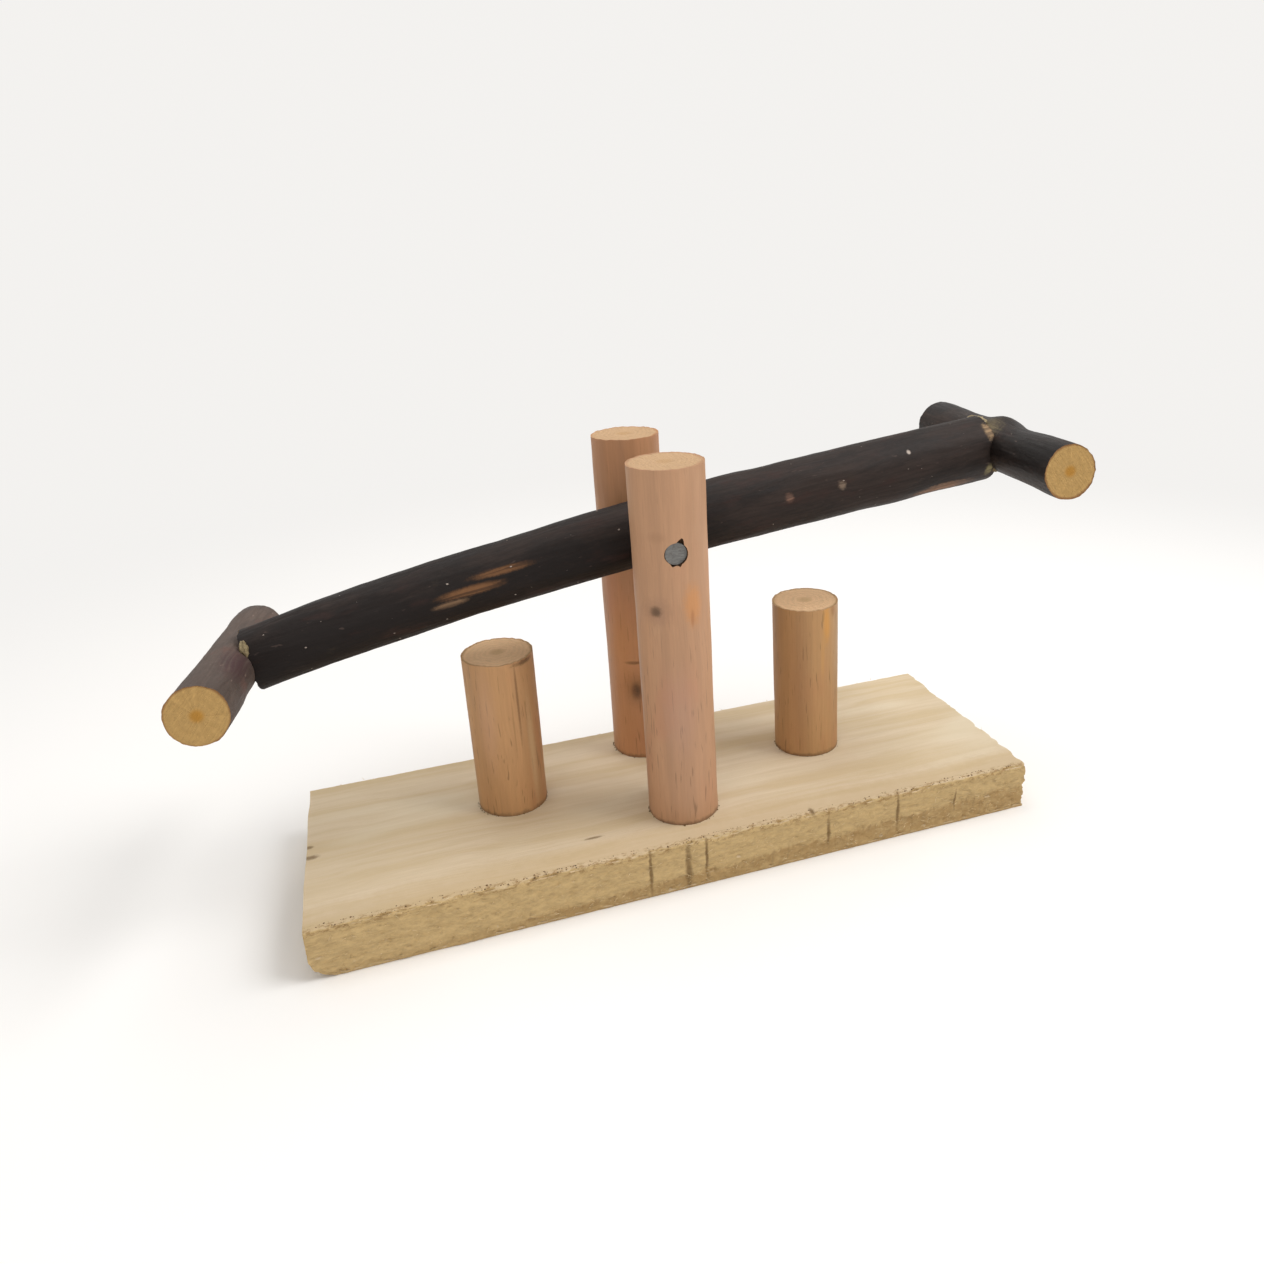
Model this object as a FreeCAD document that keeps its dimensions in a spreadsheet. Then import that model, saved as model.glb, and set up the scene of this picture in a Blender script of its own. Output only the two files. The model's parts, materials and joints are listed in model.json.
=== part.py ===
import FreeCAD, Part
import Sketcher
import os

# A small wooden seesaw for a pet bird.  A crooked branch rocks on a steel pin between two tall dowels
# on a plank, two short dowels stop it at each side, and a crosswise perch is fixed to each of its ends.
# Frame: +X along the plank towards the raised end of the branch, +Y away from the front, +Z up,
# origin at the centre of the plank's underside.  Millimetres and degrees.

SIZES = [
    ("base_length", 230.0, "plank, along X"),
    ("base_width", 77.5, "plank, along Y"),
    ("base_thickness", 16.5, "plank"),
    ("base_wane_radius", 8.0, "rounded lower corner at the plank's left end"),
    ("post_diameter", 22.0, "all four dowels"),
    ("pivot_post_height", 113.0, "tall dowels, above the plank"),
    ("stop_left_height", 52.5, "left short dowel, above the plank"),
    ("stop_right_height", 54.0, "right short dowel, above the plank"),
    ("pivot_post_place", 0.6, "tall dowels' axes, along X"),
    ("stop_left_place", 50.0, "left short dowel's axis, along -X"),
    ("stop_right_place", 54.0, "right short dowel's axis, along X"),
    ("stop_left_offset", 3.5, "left short dowel's axis, behind the branch's plane"),
    ("stop_right_offset", 0.5, "right short dowel's axis, behind the branch's plane"),
    ("beam_plane", 3.5, "branch's plane, along Y"),
    ("beam_side_gap", 0.85, "between the branch and each tall dowel"),
    ("pin_diameter", 6.5, "pivot pin"),
    ("pin_place", -0.7, "pivot pin's axis, along X"),
    ("pin_height", 88.5, "pivot pin's axis, above the plank"),
    ("pin_recess", 0.5, "pin's ends inside the dowels' outer lines"),
    ("pin_seat_clearance", 0.02, "radial, pin in the dowels"),
    ("pin_running_clearance", 0.06, "radial, pin in the branch"),
    ("beam_tilt", 7.3, "branch at the pin, right end up"),
    ("beam_drop", 2.5, "pin's axis above the branch's centre line"),
    ("beam_reach_left", 120.0, "centre line, pin to left end"),
    ("beam_reach_right", 119.5, "centre line, pin to right end"),
    ("beam_bend_left", 1150.0, "centre line's radius, left of the pin"),
    ("beam_bend_right", 3165.0, "centre line's radius, right of the pin"),
    ("beam_diameter_left", 18.7, "branch at its left end"),
    ("beam_diameter", 20.9, "branch at the pin"),
    ("beam_diameter_right", 22.6, "branch at its right end"),
    ("perch_left_diameter", 15.8, "left perch"),
    ("perch_left_length", 88.0, "left perch"),
    ("perch_left_swing", 2.3, "left perch's rear end towards +X"),
    ("perch_left_dip", 8.0, "left perch's rear end downwards"),
    ("perch_left_shift", 1.0, "left perch's middle, behind the branch's plane"),
    ("perch_right_diameter", 16.8, "right perch"),
    ("perch_right_length", 88.0, "right perch"),
    ("perch_right_swing", 5.8, "right perch's rear end towards +X"),
    ("perch_right_dip", 1.3, "right perch's rear end downwards"),
    ("perch_right_shift", -1.3, "right perch's middle, behind the branch's plane"),
    ("perch_seat_depth", 1.2, "hollow in the branch's end that a perch beds in"),
    ("glue_line", 0.05, "between a perch and its hollow"),
    ("nail_diameter", 2.0, "nail through each perch"),
    ("nail_length", 38.0, "under the head"),
    ("nail_head_diameter", 4.6, "nail"),
    ("nail_head_thickness", 0.9, "nail"),
    ("nail_head_recess", 0.3, "head below the perch's outer line"),
    ("nail_point_length", 3.0, "nail"),
    ("screw_diameter", 4.0, "wood screw up into each dowel"),
    ("screw_length", 38.0, "overall"),
    ("screw_head_diameter", 8.0, "countersunk head, 90 degrees"),
    ("screw_head_rim", 0.5, "straight rim of the head"),
    ("screw_head_recess", 0.6, "head inside the plank's underside"),
    ("screw_point_length", 6.0, "wood screw"),
    ("screw_slot_length", 4.6, "cross recess, tip to tip"),
    ("screw_slot_width", 0.9, "cross recess"),
    ("screw_slot_depth", 1.6, "cross recess"),
    ("fastener_clearance", 0.03, "radial, shank or head in its hole"),
    ("point_clearance", 1.0, "hole beyond a nail's or screw's point"),
]

doc = FreeCAD.newDocument("seesaw")
sheet = doc.addObject("Spreadsheet::Sheet", "sizes")
for row, (alias, value, meaning) in enumerate(SIZES, start=1):
    sheet.set(f"A{row}", alias)
    sheet.set(f"B{row}", str(value))
    sheet.setAlias(f"B{row}", alias)
    sheet.set(f"C{row}", meaning)
doc.recompute()

VERTICAL = FreeCAD.Vector(0, 0, 1)
ORIGIN = FreeCAD.Vector(0, 0, 0)
subparts = []


def sized(text):
    """Spells out sheet cells: every size alias in the text gets its sheet's name."""
    words = {alias for alias, value, meaning in SIZES}
    pieces = []
    word = ""
    for letter in text + " ":
        if letter.isalnum() or letter == "_":
            word += letter
            continue
        pieces.append("sizes." + word if word in words else word)
        pieces.append(letter)
        word = ""
    return "".join(pieces).strip()


def new_body(label, placement=None):
    body = doc.addObject("PartDesign::Body", label)
    body.Label = label
    if placement:
        body.setExpression("Placement", sized(placement))
    subparts.append(body)
    return body


def new_sketch(body, role, name, offset=None):
    """A sketch on one of the body's own origin planes, moved and turned in that plane's axes."""
    plane = [item for item in body.Origin.OriginFeatures if item.Role == role][0]
    sketch = body.newObject("Sketcher::SketchObject", f"{body.Name}_{name}")
    sketch.AttachmentSupport = [(plane, "")]
    sketch.MapMode = "FlatFace"
    if offset:
        sketch.setExpression("AttachmentOffset", sized(offset))
    return sketch


def dimension(sketch, kind, name, size, *geometry):
    """A named dimension bound to a size; its first value only has to keep the solver's side."""
    index = sketch.addConstraint(Sketcher.Constraint(kind, *geometry, 1.0))
    sketch.renameConstraint(index, name)
    sketch.setExpression(f"Constraints.{name}", sized(size))


def add_circle(sketch, radius):
    circle = sketch.addGeometry(Part.Circle(ORIGIN, VERTICAL, 1.0), False)
    sketch.addConstraint(Sketcher.Constraint("Coincident", circle, 3, -1, 1))
    dimension(sketch, "Radius", "radius", radius, circle)


def add_outline(sketch, points):
    """A closed outline of straight lines; each point is an (x, y) pair of size expressions."""
    count = len(points)
    corners = [FreeCAD.Vector(evaluate(x), evaluate(y), 0) for x, y in points]
    for index in range(count):
        sketch.addGeometry(Part.LineSegment(corners[index], corners[(index + 1) % count]), False)
    for index in range(count):
        sketch.addConstraint(Sketcher.Constraint("Coincident", index, 2, (index + 1) % count, 1))
    for index, (x, y) in enumerate(points):
        pin_down(sketch, index, "X", f"x{index}", x, corners[index].x)
        pin_down(sketch, index, "Y", f"y{index}", y, corners[index].y)


def pin_down(sketch, line, axis, name, size, value):
    """Places a line's first point along one axis, from the sketch's origin."""
    constraint = Sketcher.Constraint(f"Distance{axis}", -1, 1, line, 1, value)
    index = sketch.addConstraint(constraint)
    sketch.renameConstraint(index, name)
    sketch.setExpression(f"Constraints.{name}", sized(size))


def evaluate(text):
    """The present value of a size expression, for a sketch's first drawing."""
    value = sheet.evalExpression(sized(text))
    return float(getattr(value, "Value", value))


def add_pad(body, sketch, length, symmetric=False):
    pad = body.newObject("PartDesign::Pad", f"{sketch.Name}_pad")
    pad.Profile = sketch
    pad.setExpression("Length", sized(length))
    pad.SideType = "Symmetric" if symmetric else "One side"
    sketch.Visibility = False
    return pad


def add_pocket(body, sketch, depth=None, reverse=False):
    """A pocket of the given depth, or one right through both ways when there is none."""
    pocket = body.newObject("PartDesign::Pocket", f"{sketch.Name}_pocket")
    pocket.Profile = sketch
    if depth:
        pocket.setExpression("Length", sized(depth))
        pocket.Reversed = reverse
    else:
        pocket.Type = "ThroughAll"
        pocket.SideType = "Symmetric"
    return pocket


def add_turning(body, outline, name):
    """A turned solid: the outline's (radius, height) points spun about the body's Z axis."""
    sketch = new_sketch(body, "XZ_Plane", name)
    add_outline(sketch, outline)
    turning = body.newObject("PartDesign::Revolution", f"{sketch.Name}_turning")
    turning.Profile = sketch
    turning.ReferenceAxis = (sketch, ["V_Axis"])
    turning.Angle = 360.0
    return turning


# ---- the branch's own frame: origin on the pin, X along the centre line there, Y along the pin ----

PIN_FRAME = ("placement(vector(pin_place; beam_plane; base_thickness + pin_height);"
             " rotation(vector(0; 1; 0); -beam_tilt))")

SIDES = {"left": -1, "right": 1}


def centre_line(side, share):
    """The centre line's frame at a share of one side's reach, its X axis pointing to that end."""
    sign = SIDES[side]
    turn = f"({share} * beam_reach_{side} / beam_bend_{side} * 180 / pi)"
    along = f"{sign} * beam_bend_{side} * sin({turn})"
    height = f"-beam_drop - beam_bend_{side} * (1 - cos({turn}))"
    outward = "" if sign > 0 else " * rotation(vector(0; 0; 1); 180)"
    return (f"placement(vector({along}; 0; {height});"
            f" rotation(vector(0; 1; 0); {sign} * {turn}){outward})")


def perch_frame(side):
    """A perch's frame in the branch's: origin on the perch's axis, Y along it towards the rear."""
    sign = SIDES[side]
    bedding = f"perch_{side}_diameter / 2 + glue_line - perch_seat_depth"
    turned_back = "" if sign > 0 else " * placement(vector(0; 0; 0); rotation(vector(0; 0; 1); 180))"
    skew = (f"rotation(vector(0; 0; 1); -perch_{side}_swing)"
            f" * rotation(vector(1; 0; 0); -perch_{side}_dip)")
    return (f"{centre_line(side, 1)} * placement(vector({bedding}; 0; 0); rotation(0; 0; 0))"
            f"{turned_back} * placement(vector(0; 0; 0); {skew})")


def nail_frame(side):
    """A nail's frame in the branch's: origin under the head, Z from the point out to the head."""
    outside = (f"perch_{side}_diameter + glue_line - perch_seat_depth"
               " - nail_head_recess - nail_head_thickness")
    return (f"{centre_line(side, 1)} * placement(vector({outside}; 0; 0);"
            " rotation(vector(0; 1; 0); 90))")


# ---- the plank and its dowels ----

POSTS = {
    "pivot_front": ("pivot_post_place", "beam_plane - (beam_diameter + post_diameter) / 2 - beam_side_gap",
                    "pivot_post_height"),
    "pivot_rear": ("pivot_post_place", "beam_plane + (beam_diameter + post_diameter) / 2 + beam_side_gap",
                   "pivot_post_height"),
    "stop_left": ("-stop_left_place", "beam_plane + stop_left_offset", "stop_left_height"),
    "stop_right": ("stop_right_place", "beam_plane + stop_right_offset", "stop_right_height"),
}


def make_base_board():
    body = new_body("base_board")
    profile = new_sketch(body, "XZ_Plane", "profile")
    half = evaluate("base_length / 2")
    top = evaluate("base_thickness")
    wane = evaluate("base_wane_radius")
    bottom = profile.addGeometry(Part.LineSegment(FreeCAD.Vector(wane - half, 0, 0),
                                                  FreeCAD.Vector(half, 0, 0)), False)
    right = profile.addGeometry(Part.LineSegment(FreeCAD.Vector(half, 0, 0),
                                                 FreeCAD.Vector(half, top, 0)), False)
    upper = profile.addGeometry(Part.LineSegment(FreeCAD.Vector(half, top, 0),
                                                 FreeCAD.Vector(-half, top, 0)), False)
    left = profile.addGeometry(Part.LineSegment(FreeCAD.Vector(-half, top, 0),
                                                FreeCAD.Vector(-half, wane, 0)), False)
    circle = Part.Circle(FreeCAD.Vector(wane - half, wane, 0), VERTICAL, wane)
    corner = profile.addGeometry(Part.ArcOfCircle(circle, 3.14159, 4.71239), False)
    for first, second in ((bottom, right), (right, upper), (upper, left)):
        profile.addConstraint(Sketcher.Constraint("Coincident", first, 2, second, 1))
    profile.addConstraint(Sketcher.Constraint("Tangent", left, 2, corner, 1))
    profile.addConstraint(Sketcher.Constraint("Tangent", corner, 2, bottom, 1))
    profile.addConstraint(Sketcher.Constraint("Horizontal", upper))
    profile.addConstraint(Sketcher.Constraint("Vertical", right))
    profile.addConstraint(Sketcher.Constraint("Vertical", left))
    profile.addConstraint(Sketcher.Constraint("Horizontal", bottom))
    dimension(profile, "Radius", "wane", "base_wane_radius", corner)
    pin_down(profile, right, "X", "right_end", "base_length / 2", half)
    pin_down(profile, right, "Y", "underside", "0", 0)
    pin_down(profile, left, "X", "left_end", "-base_length / 2", -half)
    pin_down(profile, left, "Y", "top", "base_thickness", top)
    add_pad(body, profile, "base_width", symmetric=True)
    for name, (across, behind, height) in POSTS.items():
        place = f"placement(vector({across}; {behind}; 0); rotation(0; 0; 0))"
        shank = new_sketch(body, "XY_Plane", f"{name}_shank", place)
        add_circle(shank, "screw_diameter / 2 + fastener_clearance")
        add_pocket(body, shank)
        cut_countersink(body, name, across, behind)


def cut_countersink(body, name, across, behind):
    """Cuts one screw head's seat into the plank's underside."""
    place = f"placement(vector({across}; 0; -({behind})); rotation(0; 0; 0))"
    sketch = new_sketch(body, "XZ_Plane", f"{name}_sink", place)
    rim = "screw_head_diameter / 2 + fastener_clearance"
    rim_top = "screw_head_recess + screw_head_rim"
    neck = "screw_diameter / 2 + fastener_clearance"
    add_outline(sketch, [
        ("0", "0"),
        (rim, "0"),
        (rim, rim_top),
        (neck, f"{rim_top} + (screw_head_diameter - screw_diameter) / 2"),
        ("0", f"{rim_top} + (screw_head_diameter - screw_diameter) / 2"),
    ])
    groove = body.newObject("PartDesign::Groove", f"{sketch.Name}_groove")
    groove.Profile = sketch
    groove.ReferenceAxis = (sketch, ["V_Axis"])
    groove.Angle = 360.0


def make_post(name):
    """One dowel: a plain round stick, screwed from below and bored for the pin where it is tall."""
    across, behind, height = POSTS[name]
    place = f"placement(vector({across}; {behind}; base_thickness); rotation(0; 0; 0))"
    kind, side = name.split("_")
    body = new_body(f"{kind}_post_{side}", place)
    section = new_sketch(body, "XY_Plane", "section")
    add_circle(section, "post_diameter / 2")
    add_pad(body, section, height)
    pilot = new_sketch(body, "XY_Plane", "pilot")
    add_circle(pilot, "screw_diameter / 2 + fastener_clearance")
    add_pocket(body, pilot, "screw_head_recess + screw_length + point_clearance - base_thickness",
               reverse=True)
    if kind == "pivot":
        place = f"placement(vector(pin_place - ({across}); pin_height; 0); rotation(0; 0; 0))"
        bore = new_sketch(body, "XZ_Plane", "bore", place)
        add_circle(bore, "pin_diameter / 2 + pin_seat_clearance")
        add_pocket(body, bore)


def make_screw(name):
    """A countersunk cross-head wood screw, point up; its thread is left as a plain shank."""
    across, behind, height = POSTS[name]
    place = f"placement(vector({across}; {behind}; screw_head_recess); rotation(0; 0; 0))"
    body = new_body(f"post_screw_{name}", place)
    neck = "screw_head_rim + (screw_head_diameter - screw_diameter) / 2"
    add_turning(body, [
        ("0", "0"),
        ("screw_head_diameter / 2", "0"),
        ("screw_head_diameter / 2", "screw_head_rim"),
        ("screw_diameter / 2", neck),
        ("screw_diameter / 2", "screw_length - screw_point_length"),
        ("0", "screw_length"),
    ], "shape")
    for number, turn in enumerate((0, 90)):
        place = f"placement(vector(0; 0; 0); rotation(vector(0; 0; 1); {turn}))"
        slot = new_sketch(body, "XY_Plane", f"slot{number}", place)
        add_outline(slot, [
            ("-screw_slot_length / 2", "-screw_slot_width / 2"),
            ("screw_slot_length / 2", "-screw_slot_width / 2"),
            ("screw_slot_length / 2", "screw_slot_width / 2"),
            ("-screw_slot_length / 2", "screw_slot_width / 2"),
        ])
        add_pocket(body, slot, "screw_slot_depth", reverse=True)


def make_pin():
    pin = doc.addObject("Part::Cylinder", "pivot_pin")
    pin.Label = "pivot_pin"
    half = "(beam_diameter / 2 + beam_side_gap + post_diameter - pin_recess)"
    pin.setExpression("Radius", sized("pin_diameter / 2"))
    pin.setExpression("Height", sized(f"2 * {half}"))
    place = (f"placement(vector(pin_place; beam_plane - {half}; base_thickness + pin_height);"
             " rotation(vector(1; 0; 0); -90))")
    pin.setExpression("Placement", sized(place))
    subparts.append(pin)


# ---- the branch, its perches and their nails ----

def make_beam():
    """The branch: a taper lofted along its bent centre line, bored for the pin and nails."""
    body = new_body("seesaw_beam", PIN_FRAME)
    sections = []
    for number, (side, share) in enumerate((("left", 1), ("left", 0.5), ("right", 0),
                                            ("right", 0.5), ("right", 1))):
        sign = SIDES[side]
        turn = f"({share} * beam_reach_{side} / beam_bend_{side} * 180 / pi)"
        place = (f"placement(vector(0; -beam_drop - beam_bend_{side} * (1 - cos({turn}));"
                 f" {sign} * beam_bend_{side} * sin({turn}));"
                 f" rotation(vector(1; 0; 0); {sign} * {turn}))")
        section = new_sketch(body, "YZ_Plane", f"section{number}", place)
        diameter = f"(beam_diameter + {share} * (beam_diameter_{side} - beam_diameter))"
        add_circle(section, f"{diameter} / 2")
        sections.append(section)
    loft = body.newObject("PartDesign::AdditiveLoft", "seesaw_beam_taper")
    loft.Profile = sections[0]
    loft.Sections = sections[1:]
    bore = new_sketch(body, "XZ_Plane", "bore")
    add_circle(bore, "pin_diameter / 2 + pin_running_clearance")
    add_pocket(body, bore)
    for side in SIDES:
        to_sketch = " * placement(vector(0; 0; 0); rotation(vector(1; 0; 0); 90))"
        from_plane = "placement(vector(0; 0; 0); rotation(vector(1; 0; 0); -90)) * "
        seat = new_sketch(body, "XZ_Plane", f"seat_{side}", from_plane + perch_frame(side) + to_sketch)
        add_circle(seat, f"perch_{side}_diameter / 2 + glue_line")
        add_pocket(body, seat)
        hole = new_sketch(body, "XY_Plane", f"nail_hole_{side}", nail_frame(side))
        add_circle(hole, "nail_diameter / 2 + fastener_clearance")
        add_pocket(body, hole, "nail_length + point_clearance")


def make_perch(side):
    """A short round stick lying across the branch's end, nailed through into it."""
    body = new_body(f"perch_{side}", f"{PIN_FRAME} * {perch_frame(side)}")
    place = f"placement(vector(0; 0; -perch_{side}_shift); rotation(0; 0; 0))"
    section = new_sketch(body, "XZ_Plane", "section", place)
    add_circle(section, f"perch_{side}_diameter / 2")
    add_pad(body, section, f"perch_{side}_length", symmetric=True)
    across = f"minvert({perch_frame(side)}) * {nail_frame(side)}"
    hole = new_sketch(body, "XY_Plane", "nail_hole", across)
    add_circle(hole, "nail_diameter / 2 + fastener_clearance")
    add_pocket(body, hole)
    head = new_sketch(body, "XY_Plane", "nail_head", across)
    add_circle(head, "nail_head_diameter / 2 + fastener_clearance")
    add_pocket(body, head, f"perch_{side}_diameter / 2", reverse=True)


def make_nail(side):
    body = new_body(f"perch_nail_{side}", f"{PIN_FRAME} * {nail_frame(side)}")
    add_turning(body, [
        ("0", "nail_head_thickness"),
        ("0", "-nail_length"),
        ("nail_diameter / 2", "nail_point_length - nail_length"),
        ("nail_diameter / 2", "0"),
        ("nail_head_diameter / 2", "0"),
        ("nail_head_diameter / 2", "nail_head_thickness"),
    ], "shape")


def check_document():
    for item in doc.Objects:
        if {"Invalid", "Error"} & set(item.State):
            raise RuntimeError(f"{item.Name} failed: {item.State}")
    for subpart in subparts:
        shape = subpart.Shape
        if shape.isNull() or not shape.isValid() or not shape.Solids:
            raise RuntimeError(f"{subpart.Label} has no valid solid")


def write_steps():
    os.makedirs("parts", exist_ok=True)
    for subpart in subparts:
        subpart.Shape.exportStep(f"parts/{subpart.Label}.step")
        box = subpart.Shape.BoundBox
        corners = (box.XMin, box.YMin, box.ZMin, box.XMax, box.YMax, box.ZMax)
        print(subpart.Label, len(subpart.Shape.Solids), round(subpart.Shape.Volume, 1),
              [round(value, 2) for value in corners])


make_base_board()
for post_name in POSTS:
    make_post(post_name)
    make_screw(post_name)
make_pin()
make_beam()
for side_name in SIDES:
    make_perch(side_name)
    make_nail(side_name)
doc.recompute()
check_document()
write_steps()
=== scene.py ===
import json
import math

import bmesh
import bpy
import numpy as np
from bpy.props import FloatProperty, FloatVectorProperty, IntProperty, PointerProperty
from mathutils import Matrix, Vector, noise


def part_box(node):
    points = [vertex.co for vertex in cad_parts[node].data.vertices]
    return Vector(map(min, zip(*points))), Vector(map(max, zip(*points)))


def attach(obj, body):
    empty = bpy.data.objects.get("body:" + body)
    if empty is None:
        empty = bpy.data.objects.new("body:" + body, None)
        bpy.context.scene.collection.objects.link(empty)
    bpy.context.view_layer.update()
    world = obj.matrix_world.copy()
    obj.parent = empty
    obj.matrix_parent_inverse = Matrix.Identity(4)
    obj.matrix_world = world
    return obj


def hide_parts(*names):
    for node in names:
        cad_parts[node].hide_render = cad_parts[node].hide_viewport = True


bl_info = {
    "name": "Pet seesaw",
    "version": (1, 0, 0),
    "blender": (4, 5, 0),
    "location": "View3D > Sidebar > Seesaw",
    "description": "Builds a small natural-wood seesaw around its measured frame",
    "category": "Add Mesh",
}

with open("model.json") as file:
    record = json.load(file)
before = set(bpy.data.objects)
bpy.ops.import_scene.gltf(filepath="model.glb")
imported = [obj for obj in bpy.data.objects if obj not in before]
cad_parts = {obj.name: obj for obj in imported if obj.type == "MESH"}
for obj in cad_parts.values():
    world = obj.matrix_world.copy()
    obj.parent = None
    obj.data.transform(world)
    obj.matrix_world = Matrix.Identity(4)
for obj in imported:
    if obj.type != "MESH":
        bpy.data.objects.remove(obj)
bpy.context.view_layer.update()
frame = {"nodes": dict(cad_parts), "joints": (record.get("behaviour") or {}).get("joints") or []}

MM = 0.001
PIVOT = Vector(frame["joints"][0]["pos_m"])
STAND, SEESAW = "stand", "seesaw"


# ---------------------------------------------------------------- sizes and colours a user would change

def length(name, description, millimetres):
    return FloatProperty(name=name, description=description, default=millimetres * MM,
                         unit="LENGTH", precision=5)


def colour(name, description, red, green, blue):
    return FloatVectorProperty(name=name, description=description, subtype="COLOR", size=3,
                               min=0.0, max=1.0, default=(red, green, blue))


class SeesawPlank(bpy.types.PropertyGroup):
    face: colour("Sawn face", "Pale planed wood", 0.70, 0.575, 0.415)
    band: colour("Warm band", "Tan heartwood bands along the plank", 0.61, 0.475, 0.295)
    edge: colour("Rough edge", "Rough-sawn front and ends", 0.60, 0.425, 0.195)
    stain: colour("Bark stain", "Olive-brown strip left by the bark", 0.34, 0.19, 0.055)
    rough: length("Saw roughness", "Depth of the torn grain on the rough edges", 0.75)
    arris: length("Arris", "Rounding of the long edges", 0.8)
    step: length("Station", "Spacing of the mesh along the plank", 0.7)


class SeesawDowels(bpy.types.PropertyGroup):
    front: colour("Front post", "Peeled pinkish wood", 0.50, 0.28, 0.158)
    rear: colour("Rear post", "Peeled orange-brown wood", 0.50, 0.245, 0.118)
    left: colour("Left stop", "Peeled orange-tan wood", 0.51, 0.28, 0.125)
    right: colour("Right stop", "Peeled orange wood", 0.47, 0.265, 0.115)
    end_grain: colour("End grain", "Sawn tops", 0.86, 0.56, 0.32)
    wobble: length("Out of round", "How far a peeled stick strays from a true cylinder", 0.22)
    hole_play: length("Torn hole", "Gap between the pin and the torn wood round it", 0.3)


class SeesawBranch(bpy.types.PropertyGroup):
    bark: colour("Dark bark", "Near-black bark of the long branch", 0.011, 0.0072, 0.006)
    # Brown bark is also the colour of the branch's painted sheen, lighter towards its right end.
    bark_brown: colour("Brown bark", "Worn, greyer bark", 0.034, 0.023, 0.019)
    inner: colour("Inner bark", "Orange-brown scars", 0.26, 0.12, 0.05)
    grey: colour("Grey bark", "Bark of the left perch", 0.122, 0.088, 0.072)
    cut: colour("Cut end", "Freshly sawn ends", 0.50, 0.31, 0.115)
    pith: colour("Pith", "Centre of the sawn ends", 0.46, 0.22, 0.035)
    wobble: length("Lumps", "How far the bark strays from a true round", 0.35)
    lenticels: IntProperty(name="Lenticels", description="Pale specks per thousand square millimetres",
                           default=9, min=0)


class SeesawDebris(bpy.types.PropertyGroup):
    crumb: length("Crumb", "Largest grain of dark sawdust", 0.62)
    crumb_spacing: length("Crumb spacing", "Distance between crumbs round each dowel", 0.62)
    fibre: length("Fibre", "Longest torn wood fibre", 2.6)
    fibres: IntProperty(name="Fibres", description="Fibres per thousand square millimetres of rough edge",
                        default=330, min=0)
    seed: IntProperty(name="Seed", description="Changes where grains and fibres fall", default=4)


class SeesawStage(bpy.types.PropertyGroup):
    backdrop: colour("Backdrop", "Floor and background", 0.90, 0.885, 0.865)
    azimuth: FloatProperty(name="Azimuth", description="Camera's heading, clockwise from +Y",
                           default=math.radians(17.18), subtype="ANGLE")
    drop: FloatProperty(name="Drop", description="Camera's angle below the horizon",
                        default=math.radians(18.81), subtype="ANGLE")
    roll: FloatProperty(name="Roll", description="Camera's turn about its own line of sight",
                        default=math.radians(2.88), subtype="ANGLE")
    place: FloatVectorProperty(name="Camera", description="Camera's place", subtype="TRANSLATION",
                               default=(-0.0781, -0.2858, 0.1941))
    lens: FloatProperty(name="Lens", description="Focal length for a 36 mm sensor", default=28.49)


# ---------------------------------------------------------------- node helpers

def add(tree, kind, inputs=None, **settings):
    """Adds a node, sets its properties, and feeds its inputs with values or with other sockets."""
    made = tree.nodes.new(kind)
    for key, value in settings.items():
        setattr(made, key, value)
    for key, value in (inputs or {}).items():
        socket = made.inputs[key]
        if isinstance(value, bpy.types.NodeSocket):
            tree.links.new(value, socket)
        else:
            socket.default_value = value
    return made


def maths(tree, operation, *values):
    return add(tree, "ShaderNodeMath", dict(enumerate(values)), operation=operation).outputs[0]


def times(tree, first, second):
    return maths(tree, "MULTIPLY", first, second)


def plus(tree, first, second):
    return maths(tree, "ADD", first, second)


def vectors(tree, operation, *values):
    made = add(tree, "ShaderNodeVectorMath", dict(enumerate(values)), operation=operation)
    return made.outputs["Value" if operation in ("LENGTH", "DOT_PRODUCT", "DISTANCE") else "Vector"]


def scaled(tree, vector, x, y, z):
    return vectors(tree, "MULTIPLY", vector, (x, y, z))


def resized(tree, vector, factor):
    made = add(tree, "ShaderNodeVectorMath", {0: vector, "Scale": factor}, operation="SCALE")
    return made.outputs["Vector"]


def ramp(tree, value, low, high, to_low=0.0, to_high=1.0):
    """Maps a value smoothly from one range to another, clamped."""
    made = add(tree, "ShaderNodeMapRange", {"Value": value, "From Min": low, "From Max": high,
                                            "To Min": to_low, "To Max": to_high},
               interpolation_type="SMOOTHSTEP")
    return made.outputs["Result"]


def cloud(tree, vector, scale, detail=4.0, roughness=0.55):
    """Noise from 0 to 1, centred on a half."""
    made = add(tree, "ShaderNodeTexNoise", {"Vector": vector, "Scale": scale, "Detail": detail,
                                            "Roughness": roughness})
    return made.outputs["Fac"]


def mixed(tree, factor, first, second):
    """One colour over another; each is a socket or three numbers."""
    inputs = {0: factor}
    for index, value in ((6, first), (7, second)):
        inputs[index] = value if isinstance(value, bpy.types.NodeSocket) else (*value, 1.0)
    return add(tree, "ShaderNodeMix", inputs, data_type="RGBA").outputs[2]


def shaded(colour_value, factor):
    """A colour made lighter or darker."""
    return tuple(min(1.0, part * factor) for part in colour_value)


def tinted(colour_value, red, green, blue):
    """A colour with each channel scaled on its own."""
    return tuple(part * factor for part, factor in zip(colour_value, (red, green, blue)))


def split(tree, vector):
    return add(tree, "ShaderNodeSeparateXYZ", {0: vector}).outputs


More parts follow.
